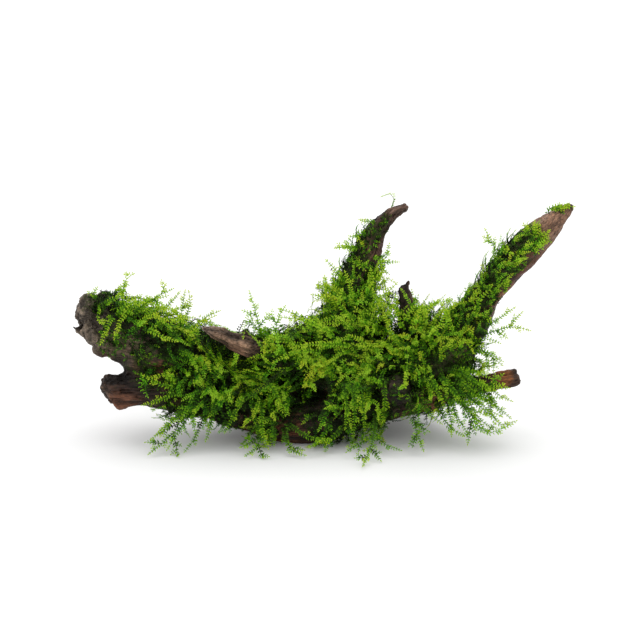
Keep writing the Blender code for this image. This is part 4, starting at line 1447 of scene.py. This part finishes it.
def wood_material(name, wetness, swirl, line_shade):
    """Dark, damp wood: region colour, fibres along the grain, painted shade in the grooves and pits,
    painted light on the ridges, and a film of moss.
    """
    material, tree = new_material(name)
    grain = attribute(tree, "grain", "Vector")
    place = node(tree, "ShaderNodeTexCoord").outputs["Object"]
    fibres, streaks, lines = (pattern(tree, grain, *kind, swirl) for kind in (FIBRES, STREAKS, LINES))
    mottle, speckle, patches = (pattern(tree, place, *kind) for kind in (MOTTLE, SPECKLE, PATCHES))

    # Each pattern's low and high, and the shade that it gives the colour there. The carved depth
    # paints shade into the grooves and pits and painted light onto the ridges.
    shades = (
        (fibres, 0.3, 0.72, 0.45, 1.6),
        (streaks, 0.3, 0.7, 0.6, 1.4),
        (lines, 0.3, 0.55, line_shade, 1.15),
        (mottle, 0.3, 0.7, 0.7, 1.25),
        (attribute(tree, "depth"), -0.8, 0.9, 0.22, 1.75),
    )
    shade, *others = (remap(tree, *shading) for shading in shades)
    for other in others:
        shade = calc(tree, "MULTIPLY", shade, other)
    grey = node(tree, "ShaderNodeCombineColor", {"Red": shade, "Green": shade, "Blue": shade})
    region = attribute(tree, "wood_colour", "Color")
    colour = mixed(tree, 1, region, grey.outputs["Color"], "MULTIPLY")

    film = attribute(tree, "film")
    for value, spread in ((patches, 0.35), (speckle, 0.3)):
        film = calc(tree, "ADD", film, remap(tree, value, 0.3, 0.7, -spread, spread))
    film = remap(tree, film, 0.35, 0.75, 0, 0.92)
    green = mixed(tree, remap(tree, speckle, 0.35, 0.68), DARK_FILM, BRIGHT_FILM)
    colour = mixed(tree, film, colour, green)

    height = fibres
    for value, share in ((mottle, 0.8), (lines, 0.4), (speckle, film)):
        height = calc(tree, "ADD", height, calc(tree, "MULTIPLY", value, share))
    bump_sockets = {"Height": height, "Strength": BUMP_STRENGTH, "Distance": BUMP_HEIGHT * MM}
    bump = node(tree, "ShaderNodeBump", bump_sockets)
    rough = remap(tree, mottle, 0.3, 0.7, wetness, wetness + ROUGHNESS_SPREAD)
    rough = calc(tree, "ADD", rough, calc(tree, "MULTIPLY", film, FILM_ROUGHNESS))
    sockets = {"Base Color": colour, "Roughness": rough, "Normal": bump.outputs["Normal"]}
    show_surface(tree, principled(tree, WOOD_GLOSS, sockets))
    return material


def moss_material(name):
    """Thin damp leaves: colour by brightness and tint, with light coming through."""
    material, tree = new_material(name)
    ramp = node(tree, "ShaderNodeValToRGB", {"Fac": attribute(tree, "tone")})
    elements = ramp.color_ramp.elements
    elements.remove(elements[1])
    (first_place, first_colour), *others = MOSS_RAMP
    elements[0].position = first_place
    elements[0].color = (*first_colour, 1)
    for place, colour in others:
        elements.new(place).color = (*colour, 1)
    cool = mixed(tree, 1, ramp.outputs["Color"], COOL_GREEN, "MULTIPLY")
    warm = mixed(tree, 1, ramp.outputs["Color"], WARM_GREEN, "MULTIPLY")
    colour = mixed(tree, attribute(tree, "tint"), cool, warm)
    leaf = principled(tree, LEAF_GLOSS, {"Base Color": colour, "Roughness": LEAF_ROUGHNESS})
    through = node(tree, "ShaderNodeBsdfTranslucent", {"Color": colour}).outputs["BSDF"]
    both = node(tree, "ShaderNodeMixShader", {0: TRANSLUCENT_SHARE, 1: leaf, 2: through})
    show_surface(tree, both.outputs["Shader"])
    return material


# Paths of the stems


def ways_along(points):
    """The way that each path runs at each of its points."""
    ways = np.empty_like(points)
    ways[:, 1:-1] = points[:, 2:] - points[:, :-2]
    ways[:, 0] = points[:, 1] - points[:, 0]
    ways[:, -1] = points[:, -1] - points[:, -2]
    return unit(ways)


def at_share(values, rows, shares):
    """Values between the points of paths, at shares of their length."""
    steps = values.shape[1] - 1
    spot = np.clip(shares * steps, 0, steps - BEFORE_END)
    low = spot.astype(int)
    part = (spot - low)[:, None]
    return values[rows, low] * (1 - part) + values[rows, low + 1] * part


class Paths:
    """Stems as rows of points, each with its up side, size, brightness and tint."""

    FIELDS = ("points", "ups", "radius", "leaf", "tone_low", "tone_high", "tint", "owner")

    def __init__(self, **values):
        for field in self.FIELDS:
            setattr(self, field, np.asarray(values[field]))

    def __len__(self):
        return len(self.points)

    def picked(self, choice):
        return Paths(**{field: getattr(self, field)[choice] for field in self.FIELDS})

    def lengths(self):
        return np.linalg.norm(np.diff(self.points, axis=1), axis=2).sum(axis=1)

    def tones_at(self, rows, shares):
        """Brightness at shares of the paths' lengths."""
        return self.tone_low[rows] + (self.tone_high - self.tone_low)[rows] * shares

    def frames_at(self, rows, shares):
        """The place, the way, the up side and the left side at shares of the paths' lengths."""
        places = at_share(self.points, rows, shares)
        ways = unit(at_share(ways_along(self.points), rows, shares))
        ups = unit(at_share(self.ups, rows, shares))
        return places, ways, ups, unit(np.cross(ups, ways))


def joined_paths(groups):
    groups = [g for g in groups if len(g)]
    fields = {field: np.concatenate([getattr(g, field) for g in groups]) for field in Paths.FIELDS}
    return Paths(**fields)


def spread_rows(counts):
    """The row number of each item, and the item's number in its row."""
    rows = np.repeat(np.arange(len(counts)), counts)
    starts = np.repeat(np.cumsum(counts) - counts, counts)
    return rows, np.arange(len(rows)) - starts


def leaning(ways, across, ups, angles, sides, lifts):
    """Ways that lean off a stem by an angle to a side, and are lifted."""
    out = ways * np.cos(angles)[:, None] + across * (sides * np.sin(angles))[:, None]
    return unit(out + ups * lifts[:, None])


# Leaves, stems and side branches


class MeshParts:
    """Triangles of leaves and stems, collected for one piece."""

    def __init__(self):
        self.points, self.faces, self.tones, self.tints, self.cells = [], [], [], [], []
        self.count = 0

    def add(self, points, faces, tones, tints, cells):
        """Points (n, k, 3), the faces of one item (m, 3), and k brightness values to each item."""
        items, size = points.shape[:2]
        base = self.count + np.arange(items)[:, None, None] * size
        self.points.append(points.reshape(-1, 3))
        self.faces.append((base + np.asarray(faces)[None]).reshape(-1, 3))
        self.tones.append(tones.reshape(-1))
        self.tints.append(np.repeat(tints, size))
        self.cells.append(np.tile(cells, (items, 1)))
        self.count += items * size


def add_leaves(parts, places, ways, ups, lengths, tones, tints):
    """One folded pointed leaf to a row."""
    across = unit(np.cross(ups, ways))
    rise = unit(np.cross(ways, across))
    lengths = lengths[:, None]
    half = across * lengths * (LEAF_WIDTH / LEAF_LENGTH / 2)
    fold = rise * lengths * LEAF_FOLD
    middle = places + ways * lengths * LEAF_WIDEST
    tips = places + ways * lengths - rise * lengths * LEAF_HANG
    points = np.stack([places, middle + half + fold, tips, middle - half + fold], axis=1)
    shades = np.stack([tones - LEAF_SHADE, tones, tones + LEAF_SHADE, tones], axis=1)
    parts.add(points, LEAF_FACES, shades, tints, LEAF_CELLS)


def add_all_leaves(parts, paths):
    """Pairs of leaves along each path, and one at its tip."""
    counts = np.maximum(2, (paths.lengths() / (LEAF_SPACING * paths.leaf)).astype(int))
    rows, numbers = spread_rows(counts)
    jitter = rng.uniform(-LEAF_JITTER, LEAF_JITTER, len(rows))
    shares = np.clip((numbers + LEAF_START + jitter) / counts[rows], 0, 1)
    places, ways, ups, across = paths.frames_at(rows, shares)
    for side in (1, -1):
        angles = LEAF_ANGLE + rng.normal(0, LEAF_ANGLE_SPREAD, len(rows))
        lifts = rng.normal(LEAF_LIFT, LEAF_LIFT_SPREAD, len(rows))
        size = LEAF_LENGTH * paths.leaf[rows] * (1 - LEAF_TAPER * shares**3)
        size = size * rng.uniform(*LEAF_SIZES, len(rows))
        tone = paths.tones_at(rows, shares) + rng.normal(0, LEAF_TONE_SPREAD, len(rows))
        tilt = unit(ups + across * rng.normal(0, LEAF_TILT, len(rows))[:, None])
        way = leaning(ways, across, ups, angles, side, lifts)
        add_leaves(parts, places, way, tilt, size, tone, paths.tint[rows])
    tips, tip_ways, tip_ups = paths.points[:, -1], ways_along(paths.points)[:, -1], paths.ups[:, -1]
    size = LEAF_LENGTH * paths.leaf * TIP_LEAF
    add_leaves(parts, tips, tip_ways, tip_ups, size, paths.tone_high + TIP_TONE, paths.tint)


def add_stems(parts, paths, step):
    """Tapered stems through every so many points of the paths."""
    points = paths.points[:, ::step]
    ways = ways_along(points)
    across = unit(np.cross(paths.ups[:, ::step], ways))
    rise = np.cross(ways, across)
    count = points.shape[1]
    taper = np.linspace(1, STEM_TAPER, count)[None, :, None]
    rings = []
    for k in range(STEM_SIDES):
        angle = 2 * math.pi * k / STEM_SIDES
        spoke = across * math.cos(angle) + rise * math.sin(angle)
        rings.append(points + spoke * paths.radius[:, None, None] * taper)
    rings = np.stack(rings, axis=2).reshape(len(paths), -1, 3)
    cells = [(i, k) for i in range(count) for k in range(STEM_SIDES)]
    faces = []
    for i, k in cells[:-STEM_SIDES]:
        a = i * STEM_SIDES + k
        b = i * STEM_SIDES + (k + 1) % STEM_SIDES
        faces += [(a, b, b + STEM_SIDES), (a, b + STEM_SIDES, a + STEM_SIDES)]
    shares = np.repeat(np.linspace(0, 1, count), STEM_SIDES)[None]
    tones = paths.tone_low[:, None] + (paths.tone_high - paths.tone_low)[:, None] * shares
    parts.add(rings, faces, tones * STEM_TONE, paths.tint, cells)


def side_branches(paths, spacing, reach):
    """Short shoots on alternate sides of each path, shorter towards its tip."""
    counts = np.maximum(1, (paths.lengths() / spacing).astype(int))
    rows, numbers = spread_rows(counts)
    jitter = rng.uniform(-BRANCH_JITTER, BRANCH_JITTER, len(rows))
    shares = (numbers + BRANCH_START + jitter) / (counts[rows] + BRANCH_END)
    places, ways, ups, across = paths.frames_at(rows, shares)
    sides = np.where((numbers + rows) % 2 == 0, 1, -1)
    angles = BRANCH_ANGLE + rng.normal(0, BRANCH_ANGLE_SPREAD, len(rows))
    lifts = rng.normal(BRANCH_LIFT, BRANCH_LIFT_SPREAD, len(rows))
    way = leaning(ways, across, ups, angles, sides, lifts)
    taper = np.sqrt(np.clip(BRANCH_TAPER - shares, LEAST_BRANCH, 1))
    size = reach * taper * rng.uniform(*BRANCH_SIZES, len(rows))
    steps = np.linspace(0, 1, BRANCH_POINTS)[None, :, None]
    bend = ways * (size * BRANCH_BEND)[:, None]
    points = places[:, None] + way[:, None] * size[:, None, None] * steps
    tone = paths.tones_at(rows, shares)
    return Paths(
        points=points + bend[:, None] * steps**2,
        ups=np.repeat(ups[:, None], BRANCH_POINTS, axis=1),
        radius=np.full(len(rows), BRANCH_RADIUS),
        leaf=paths.leaf[rows] * BRANCH_LEAF,
        tone_low=tone,
        tone_high=tone + BRANCH_TONE,
        tint=paths.tint[rows],
        owner=paths.owner[rows],
    )


# Where the moss grows, and which way


def node_trees(nodes, names):
    """A search tree over the named nodes, in the drawing frame, and the node of each of its faces."""
    points, faces, owners = [], [], []
    for number, name in enumerate(names):
        mesh = nodes[name].data
        base = len(points)
        points += [Vector(v.co) / MM - Vector(SHIFT) for v in mesh.vertices]
        for polygon in mesh.polygons:
            faces.append([base + v for v in polygon.vertices])
            owners.append(number)
    return BVHTree.FromPolygons(points, faces), owners


def cover_at(place, normal, tree, owners):
    """Height of the moss's top over a point of the wood, and the mat that it belongs to."""
    start = place - normal * COVER_START
    top, owner = 0, -1
    for _ in range(COVER_HITS):
        hit, _, face, _ = tree.ray_cast(start, normal, COVER_REACH)
        if hit is None:
            break
        top, owner = (hit - place).dot(normal), owners[face]
        start = hit + normal * COVER_STEP
    return top, owner


def spaced(order, places, spacing):
    """Places from the order that keep the spacing, found on a grid."""
    grid = {}
    kept = []
    steps = [(a, b, c) for a in (-1, 0, 1) for b in (-1, 0, 1) for c in (-1, 0, 1)]
    for i in order:
        x, y, z = (places[i] / spacing).astype(int)
        near = (grid.get((x + a, y + b, z + c), ()) for a, b, c in steps)
        if any(np.sum((places[i] - places[j]) ** 2) < spacing**2 for group in near for j in group):
            continue
        grid.setdefault((x, y, z), []).append(i)
        kept.append(i)
    return np.array(kept)


def combing(places):
    """The way, length and brightness of fronds rooted at these places."""
    gaps = np.stack([np.linalg.norm(places - np.array(c[0]), axis=1) for c in COMBING], axis=1)
    weights = 1 / (gaps**2 + COMB_SOFTNESS) ** 2
    weights /= weights.sum(axis=1, keepdims=True)
    ways = weights @ np.array([unit(np.array(c[1], float)) for c in COMBING])
    lengths = weights @ np.array([c[2] for c in COMBING], float)
    tones = weights @ np.array([c[3] for c in COMBING], float)
    return unit(ways), lengths, tones


def nearest_on(tree, points):
    """The nearest point of the surface and its normal, for each point."""
    found = [tree.find_nearest(Vector(p)) for p in points]
    return np.array([f[0] for f in found]), np.array([f[1] for f in found])


def thin_share(places):
    """The share of the fronds that is left out at each place."""
    left_out = np.zeros(len(places))
    for place, reach, share in THIN_SPOTS:
        left_out = np.maximum(left_out, share * nearness(places, place, reach) ** 0.5)
    return left_out


def spot_sum(places, spots, base):
    """The base with the change of each spot (place, reach, change) that the places are near."""
    total = np.full(len(places), float(base))
    for place, reach, change in spots:
        total += nearness(places, place, reach) * (change - base)
    return total


def is_straight(points, lengths):
    """Which paths don't curl back on themselves."""
    return np.linalg.norm(points[:, -1] - points[:, 0], axis=1) > LEAST_STRAIGHT * lengths


def off_bare_spots(points):
    """Which paths keep clear of the bare spots."""
    clear = np.ones(len(points), bool)
    for place, reach in BARE_SPOTS:
        clear &= np.linalg.norm(points - np.array(place), axis=2).min(axis=1) > reach
    return clear


# Fronds of the mats


def grow(tree, places, normals, ways, lengths, heights, hug, droop):
    """Fronds that grow from the wood and follow its surface at their height."""
    count = len(places)
    flat = unit(ways - normals * (ways * normals).sum(axis=1, keepdims=True))
    way = unit(flat + normals * FROND_RISE)
    points = [places]
    ups = [normals]
    step = (lengths / (PATH_POINTS - 1))[:, None]
    curl = rng.normal(0, FROND_CURL, count)[:, None]
    for k in range(1, PATH_POINTS):
        share = k / (PATH_POINTS - 1)
        side = unit(np.cross(ups[-1], way))
        wander = side * (curl + rng.normal(0, FROND_WANDER, count)[:, None])
        target = unit(flat - ups[-1] * (flat * ups[-1]).sum(axis=1, keepdims=True))
        way = unit(way + COMB_PULL * target + wander + np.array((0, 0, -1)) * droop * share)
        place = points[-1] + way * step
        ground, up = nearest_on(tree, place)
        height = ((place - ground) * up).sum(axis=1)
        wanted = heights * min(1, ROOT_HEIGHT + share)
        low = height < wanted
        place = np.where(low[:, None], ground + up * wanted[:, None], place)
        extra = np.maximum(height - wanted, 0) * hug
        place = place - up * (extra * ~low)[:, None]
        place[:, 2] = np.maximum(place[:, 2], LOWEST_TIP)
        way = unit(place - points[-1])
        points.append(place)
        ups.append(unit(UP_SHARE * ups[-1] + up))
    return np.stack(points, axis=1), np.stack(ups, axis=1)


def fronds_from(layer, tree, places, normals, ways, lengths, heights, lightness, sizes, owners):
    """The fronds of a layer that start at these places."""
    count = len(places)
    turn = rng.normal(0, layer["spread"], count)[:, None]
    ways = unit(ways * np.cos(turn) + np.cross(normals, ways) * np.sin(turn))
    start = (places, normals, ways, lengths, heights)
    points, ups = grow(tree, *start, layer["hug"], layer["droop"])
    lightness = lightness + rng.normal(0, layer["shade_spread"], count)
    lightness = lightness + PATCH_TONE * value_noise(places / PATCH_SIZE, PATCH_SEED)
    # Painted shade in recesses and low on the front, and painted light in brighter spots
    lightness = lightness + spot_sum(places, PAINTED_SHADE_AND_LIGHT_SPOTS, 0)
    leaf = layer["leaf"] * sizes * rng.uniform(*FROND_LEAF, count)
    tint = spot_sum(places, TINT_SPOTS, PLAIN_TINT) + rng.normal(0, TINT_SPREAD, count)
    made = Paths(
        points=points,
        ups=ups,
        radius=np.full(count, STEM_RADIUS),
        leaf=leaf,
        tone_low=layer["tones"][0] + lightness,
        tone_high=layer["tones"][1] + lightness,
        tint=np.clip(tint, 0, 1),
        owner=owners,
    )
    return made.picked(off_bare_spots(points) & is_straight(points, lengths))


def layer_fronds(layer, tree, places, normals, tops, owners):
    """A layer's fronds on all mats."""
    chosen = spaced(rng.permutation(len(places)), places, layer["spacing"])
    kept = rng.random(len(chosen)) >= layer["thinning"] * thin_share(places[chosen])
    chosen = chosen[kept]
    ways, lengths, bright = combing(places[chosen])
    count = len(chosen)
    tall = tops[chosen] * spot_sum(places[chosen], HEIGHT_SPOTS, 1)
    heights = np.clip(tall * rng.uniform(*layer["level"], count), *FROND_HEIGHTS)
    lengths = lengths * rng.uniform(*layer["length"], count)
    sizes = np.interp(tops[chosen], *LEAF_BY_COVER)
    start = (places[chosen], normals[chosen], ways, lengths, heights, bright, sizes, owners[chosen])
    return fronds_from(layer, tree, *start)


def film_fronds(tree, places, normals, owners):
    """Tiny shoots on the film, where the wood shows between them."""
    chosen = spaced(rng.permutation(len(places)), places, FILM_LAYER["spacing"])
    ways, _, bright = combing(places[chosen])
    count = len(chosen)
    heights = rng.uniform(*FILM_LAYER["level"], count)
    lengths = rng.uniform(*FILM_LAYER["length"], count)
    start = (places[chosen], normals[chosen], ways, lengths, heights, bright, 1, owners[chosen])
    return fronds_from(FILM_LAYER, tree, *start)


# Single fronds and long shoots


def path_through(stations, count):
    """A smooth path through the given points."""
    line = smooth_line([(*p, 0) for p in stations], PATH_STEP)
    places = np.array([p for p, _ in line])
    along = np.concatenate([[0], np.cumsum(np.linalg.norm(np.diff(places, axis=0), axis=1))])
    spots = np.linspace(0, along[-1], count)
    return np.stack([np.interp(spots, along, places[:, k]) for k in range(3)], axis=1)


def settled(stations, tree):
    """The stations moved back along the line of sight until they lie just above the mats."""
    sight = Vector((0, math.cos(CAMERA_ELEVATION), -math.sin(CAMERA_ELEVATION)))
    gaps = []
    for station in stations:
        _, normal, _, gap = tree.ray_cast(Vector(station), sight, FARTHEST_MAT)
        if gap is not None:
            gaps.append(gap if normal.dot(sight) < 0 else 0)
    back = max(0, min(gaps) - SINGLE_CLEARANCE) if gaps else 0
    return [tuple(Vector(station) + sight * back) for station in stations]


def rooted(stations, tree):
    """The stations of a stem, begun at the nearest point of the wood."""
    root, _, _, gap = tree.find_nearest(Vector(stations[0]))
    return [tuple(root), *stations] if gap > LEAST_ROOT_GAP else list(stations)


def outward(points, tree):
    """The up side of the leaves at each point of a path: out of the wood, and to the front or the rear."""
    flat = points.reshape(-1, 3)
    ground, normal = nearest_on(tree, flat)
    away = unit(unit(flat - ground) + normal).reshape(points.shape)
    rear = points[..., 1].mean(axis=1) > REAR
    facing = np.where(rear[:, None], REAR_FACING, FACING)[:, None]
    return unit(AWAY_SHARE * away + facing)


def single_paths(points, tree, tones, owner=0):
    """Paths that follow given points."""
    points = np.array(points)
    points[..., 2] = np.maximum(points[..., 2], LOWEST_TIP)
    count = len(points)
    # Painted shade near the ground
    lightness = np.interp(points[:, -1, 2], *PAINTED_SHADE_BY_HEIGHT) + rng.normal(0, SINGLE_TONE_SPREAD, count)
    return Paths(
        points=points,
        ups=outward(points, tree),
        radius=np.full(count, SINGLE_STEM_RADIUS),
        leaf=rng.uniform(*SINGLE_LEAF, count),
        tone_low=tones[0] + lightness,
        tone_high=tones[1] + lightness,
        tint=rng.normal(*SINGLE_TINT, count),
        owner=np.full(count, owner),
    )


def single_fronds(name, number, moss_tree, wood_tree):
    """The single fronds of a mat."""
    stems = [rooted(settled(stem, moss_tree), wood_tree) for stem in SINGLE_FRONDS[name]]
    stems = [path_through(stem, PATH_POINTS) for stem in stems]
    return single_paths(stems, wood_tree, SINGLE_TONES, number)


def thread_path(wood_tree):
    """The thin thread that stands on the spike's tip."""
    thread = path_through(rooted(THREAD_STEM, wood_tree), PATH_POINTS)
    thread = single_paths([thread], wood_tree, SHOOT_TONES)
    thread.leaf *= THREAD_LEAF
    return thread


def long_shoot_paths(stations, branches, tree):
    """The stem of a long shoot and its longer branches."""
    stem = path_through(stations, PATH_POINTS)
    ways = ways_along(stem[None])[0]
    steps = np.linspace(0, 1, PATH_POINTS)[:, None]
    points = [path_through(rooted(stations, tree), PATH_POINTS)]
    for share, side, length in branches:
        at = share * (PATH_POINTS - 1)
        place = stem[int(at)] + (stem[int(at) + 1] - stem[int(at)]) * (at % 1)
        way = ways[round(at)]
        across = unit(np.cross(way, FACING)) * side
        out = way * math.cos(BRANCH_LEAN) + across * math.sin(BRANCH_LEAN)
        branch = place + out * length * steps + np.array((0, 0, -SHOOT_DROOP)) * length * steps**2
        points.append(branch + rng.normal(0, SHOOT_WANDER, branch.shape))
    return single_paths(points, tree, SHOOT_TONES)


# The pieces of moss


def moss_piece(name, plain, branched, material, spacing=BRANCH_SPACING, reach=BRANCH_LENGTH):
    """One mesh of leaves and stems."""
    parts = MeshParts()
    for paths in (plain, branched):
        if len(paths):
            add_stems(parts, paths, STEM_STEP)
            add_all_leaves(parts, paths)
    if len(branched):
        shoots = side_branches(branched, spacing, reach)
        add_stems(parts, shoots, BRANCH_STEP)
        add_all_leaves(parts, shoots)
    points = np.concatenate(parts.points)
    points[:, 2] = np.maximum(points[:, 2], LOWEST_LEAF)
    faces = np.concatenate(parts.faces)
    mesh = bpy.data.meshes.new(name)
    mesh.vertices.add(len(points))
    mesh.vertices.foreach_set("co", ((points + SHIFT) * MM).ravel())
    mesh.loops.add(faces.size)
    mesh.loops.foreach_set("vertex_index", faces.ravel())
    mesh.polygons.add(len(faces))
    mesh.polygons.foreach_set("loop_start", np.arange(0, faces.size, 3))
    mesh.update(calc_edges=True)
    tones = np.clip(np.concatenate(parts.tones), 0, 1)
    tints = np.clip(np.concatenate(parts.tints), 0, 1)
    put_attribute(mesh, "tone", "FLOAT", tones)
    put_attribute(mesh, "tint", "FLOAT", tints)
    lay_palette(mesh, faces, tones, tints, np.concatenate(parts.cells))
    mesh.materials.append(material)
    return add_object(name, mesh)


def lay_palette(mesh, faces, tones, tints, cells):
    """A map where a point's place is its brightness and its tint, so that like leaves share a spot."""
    spots = np.stack([tones, tints], axis=1) * PALETTE_SHARE + PALETTE_EDGE + cells * PALETTE_STEP
    layer = mesh.uv_layers.new(name="OFBake")
    layer.data.foreach_set("uv", np.clip(spots[faces.ravel()], 0, 1).ravel())


def all_fronds(wood, wood_tree, moss_tree, owners):
    """All fronds that grow by rule: those without side branches, and those with them."""
    places = read_values(wood.polygons, "center")
    normals = read_values(wood.polygons, "normal")
    found = [cover_at(Vector(p), Vector(n), moss_tree, owners) for p, n in zip(places, normals)]
    tops = np.array([f[0] for f in found])
    owner = np.array([f[1] for f in found])
    covered = tops > LEAST_COVER
    roots = (places[covered], normals[covered], tops[covered], owner[covered])
    groups = {False: [], True: []}
    for layer in LAYERS:
        groups[layer["branches"]].append(layer_fronds(layer, wood_tree, *roots))
    film = read_values(wood.attributes["film"].data, "value", 1)[:, 0]
    film = film[[p.vertices[0] for p in wood.polygons]]
    filmed = np.where(covered, thin_share(places) > FILM_ON_THIN, film > LEAST_FILM)
    nearest = [owners[moss_tree.find_nearest(Vector(p))[2]] for p in places[filmed]]
    small = film_fronds(wood_tree, places[filmed], normals[filmed], np.array(nearest))
    return joined_paths([*groups[False], small]), joined_paths(groups[True])


def make_mats(material, wood, wood_tree, mats, moss_tree, owners):
    """A piece of fronds for each mat."""
    plain, branched = all_fronds(wood, wood_tree, moss_tree, owners)
    for number, name in enumerate(mats):
        own = plain.picked(plain.owner == number)
        own_branched = branched.picked(branched.owner == number)
        singles = single_fronds(name, number, moss_tree, wood_tree)
        own_branched = joined_paths([own_branched, singles])
        if name == THREAD_MAT:
            own = joined_paths([own, thread_path(wood_tree)])
        piece = moss_piece("fronds_" + name, own, own_branched, material)
        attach(piece, "root")
        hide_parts(name)


def make_shoots(material, wood_tree):
    """A piece for each long shoot."""
    branching = (SHOOT_BRANCH_SPACING, SHOOT_BRANCH_LENGTH)
    for name, (stations, branches) in LONG_SHOOTS.items():
        shoot = long_shoot_paths(stations, branches, wood_tree)
        none = shoot.picked(slice(0, 0))
        piece = moss_piece("frond_" + name, none, shoot, material, *branching)
        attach(piece, "root")
        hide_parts(name)


# The pieces of wood


def make_wood(moss_tree):
    """The wood's pieces. Gives the whole wood's mesh in the drawing frame, and a search tree over it."""
    mesh = wood_surface()
    points = read_values(mesh.vertices, "co")
    normals = read_values(mesh.vertex_normals, "vector")
    points, depth, grain = carve(points, normals)
    points = sink_pits(points, normals)
    points[:, 2] = np.maximum(points[:, 2], 0)
    set_points(mesh, points)
    # The carved depth, which the wood material turns into painted shade in grooves and pits and painted
    # light on ridges
    put_attribute(mesh, "depth", "FLOAT", depth)
    put_attribute(mesh, "grain", "FLOAT_VECTOR", grain)
    put_attribute(mesh, "wood_colour", "FLOAT_VECTOR", wood_colours(points))
    put_attribute(mesh, "film", "FLOAT", film_cover(points, moss_tree))
    tree = BVHTree.FromPolygons(points.tolist(), [tuple(p.vertices) for p in mesh.polygons])
    dark = wood_material("damp dark wood", wetness=0.36, swirl=0.3, line_shade=0.5)
    brown = wood_material("damp brown wood", wetness=0.34, swirl=1.2, line_shade=0.32)
    for name, part in wood_parts(mesh).items():
        set_points(part, (read_values(part.vertices, "co") + SHIFT) * MM)
        part.materials.clear()
        is_brown = name in BROWN_LIMBS
        part.materials.append(brown if is_brown else dark)
        piece = add_object("fine_" + name, part)
        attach(piece, "root")
        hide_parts(name)
    return mesh, tree


# The studio


def make_floor():
    bm = bmesh.new()
    bmesh.ops.create_grid(bm, x_segments=1, y_segments=1, size=FLOOR_HALF * MM)
    floor = add_object("floor", mesh_from(bm, "floor"))
    material, tree = new_material("pale floor")
    sockets = {"Base Color": (FLOOR_SHADE, FLOOR_SHADE, FLOOR_SHADE, 1), "Roughness": FLOOR_ROUGHNESS}
    show_surface(tree, principled(tree, 0, sockets))
    floor.data.materials.append(material)


def make_light():
    world = bpy.data.worlds.new("studio")
    world.use_nodes = True
    background = world.node_tree.nodes["Background"]
    background.inputs["Color"].default_value = (1, 1, 1, 1)
    background.inputs["Strength"].default_value = WORLD_STRENGTH
    bpy.context.scene.world = world
    sun = bpy.data.lights.new("soft light", "SUN")
    sun.energy = SUN_STRENGTH
    sun.angle = SUN_ANGLE
    light = add_object("soft light", sun)
    light.rotation_euler = SUN_TURN


def make_camera():
    data = bpy.data.cameras.new("camera")
    data.lens = CAMERA_LENS
    data.sensor_width = CAMERA_SENSOR
    camera = add_object("camera", data)
    target = (Vector(CAMERA_TARGET) + Vector(SHIFT)) * MM
    back = Vector((0, -math.cos(CAMERA_ELEVATION), math.sin(CAMERA_ELEVATION)))
    camera.location = target + back * CAMERA_DISTANCE * MM
    camera.rotation_euler = (math.pi / 2 - CAMERA_ELEVATION, 0, 0)
    bpy.context.scene.camera = camera
    bpy.context.scene.view_settings.view_transform = "Standard"


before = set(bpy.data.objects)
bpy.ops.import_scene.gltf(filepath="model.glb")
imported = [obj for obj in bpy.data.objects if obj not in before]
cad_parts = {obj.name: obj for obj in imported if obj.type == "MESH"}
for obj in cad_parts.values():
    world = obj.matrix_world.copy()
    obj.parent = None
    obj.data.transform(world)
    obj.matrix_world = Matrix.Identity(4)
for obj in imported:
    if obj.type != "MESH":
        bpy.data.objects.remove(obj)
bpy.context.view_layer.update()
mats = sorted(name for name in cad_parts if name.startswith("moss_"))
moss_tree, owners = node_trees(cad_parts, mats)
wood, wood_tree = make_wood(moss_tree)
leaves = moss_material("moss leaves")
make_mats(leaves, wood, wood_tree, mats, moss_tree, owners)
make_shoots(leaves, wood_tree)
make_floor()
make_light()
make_camera()
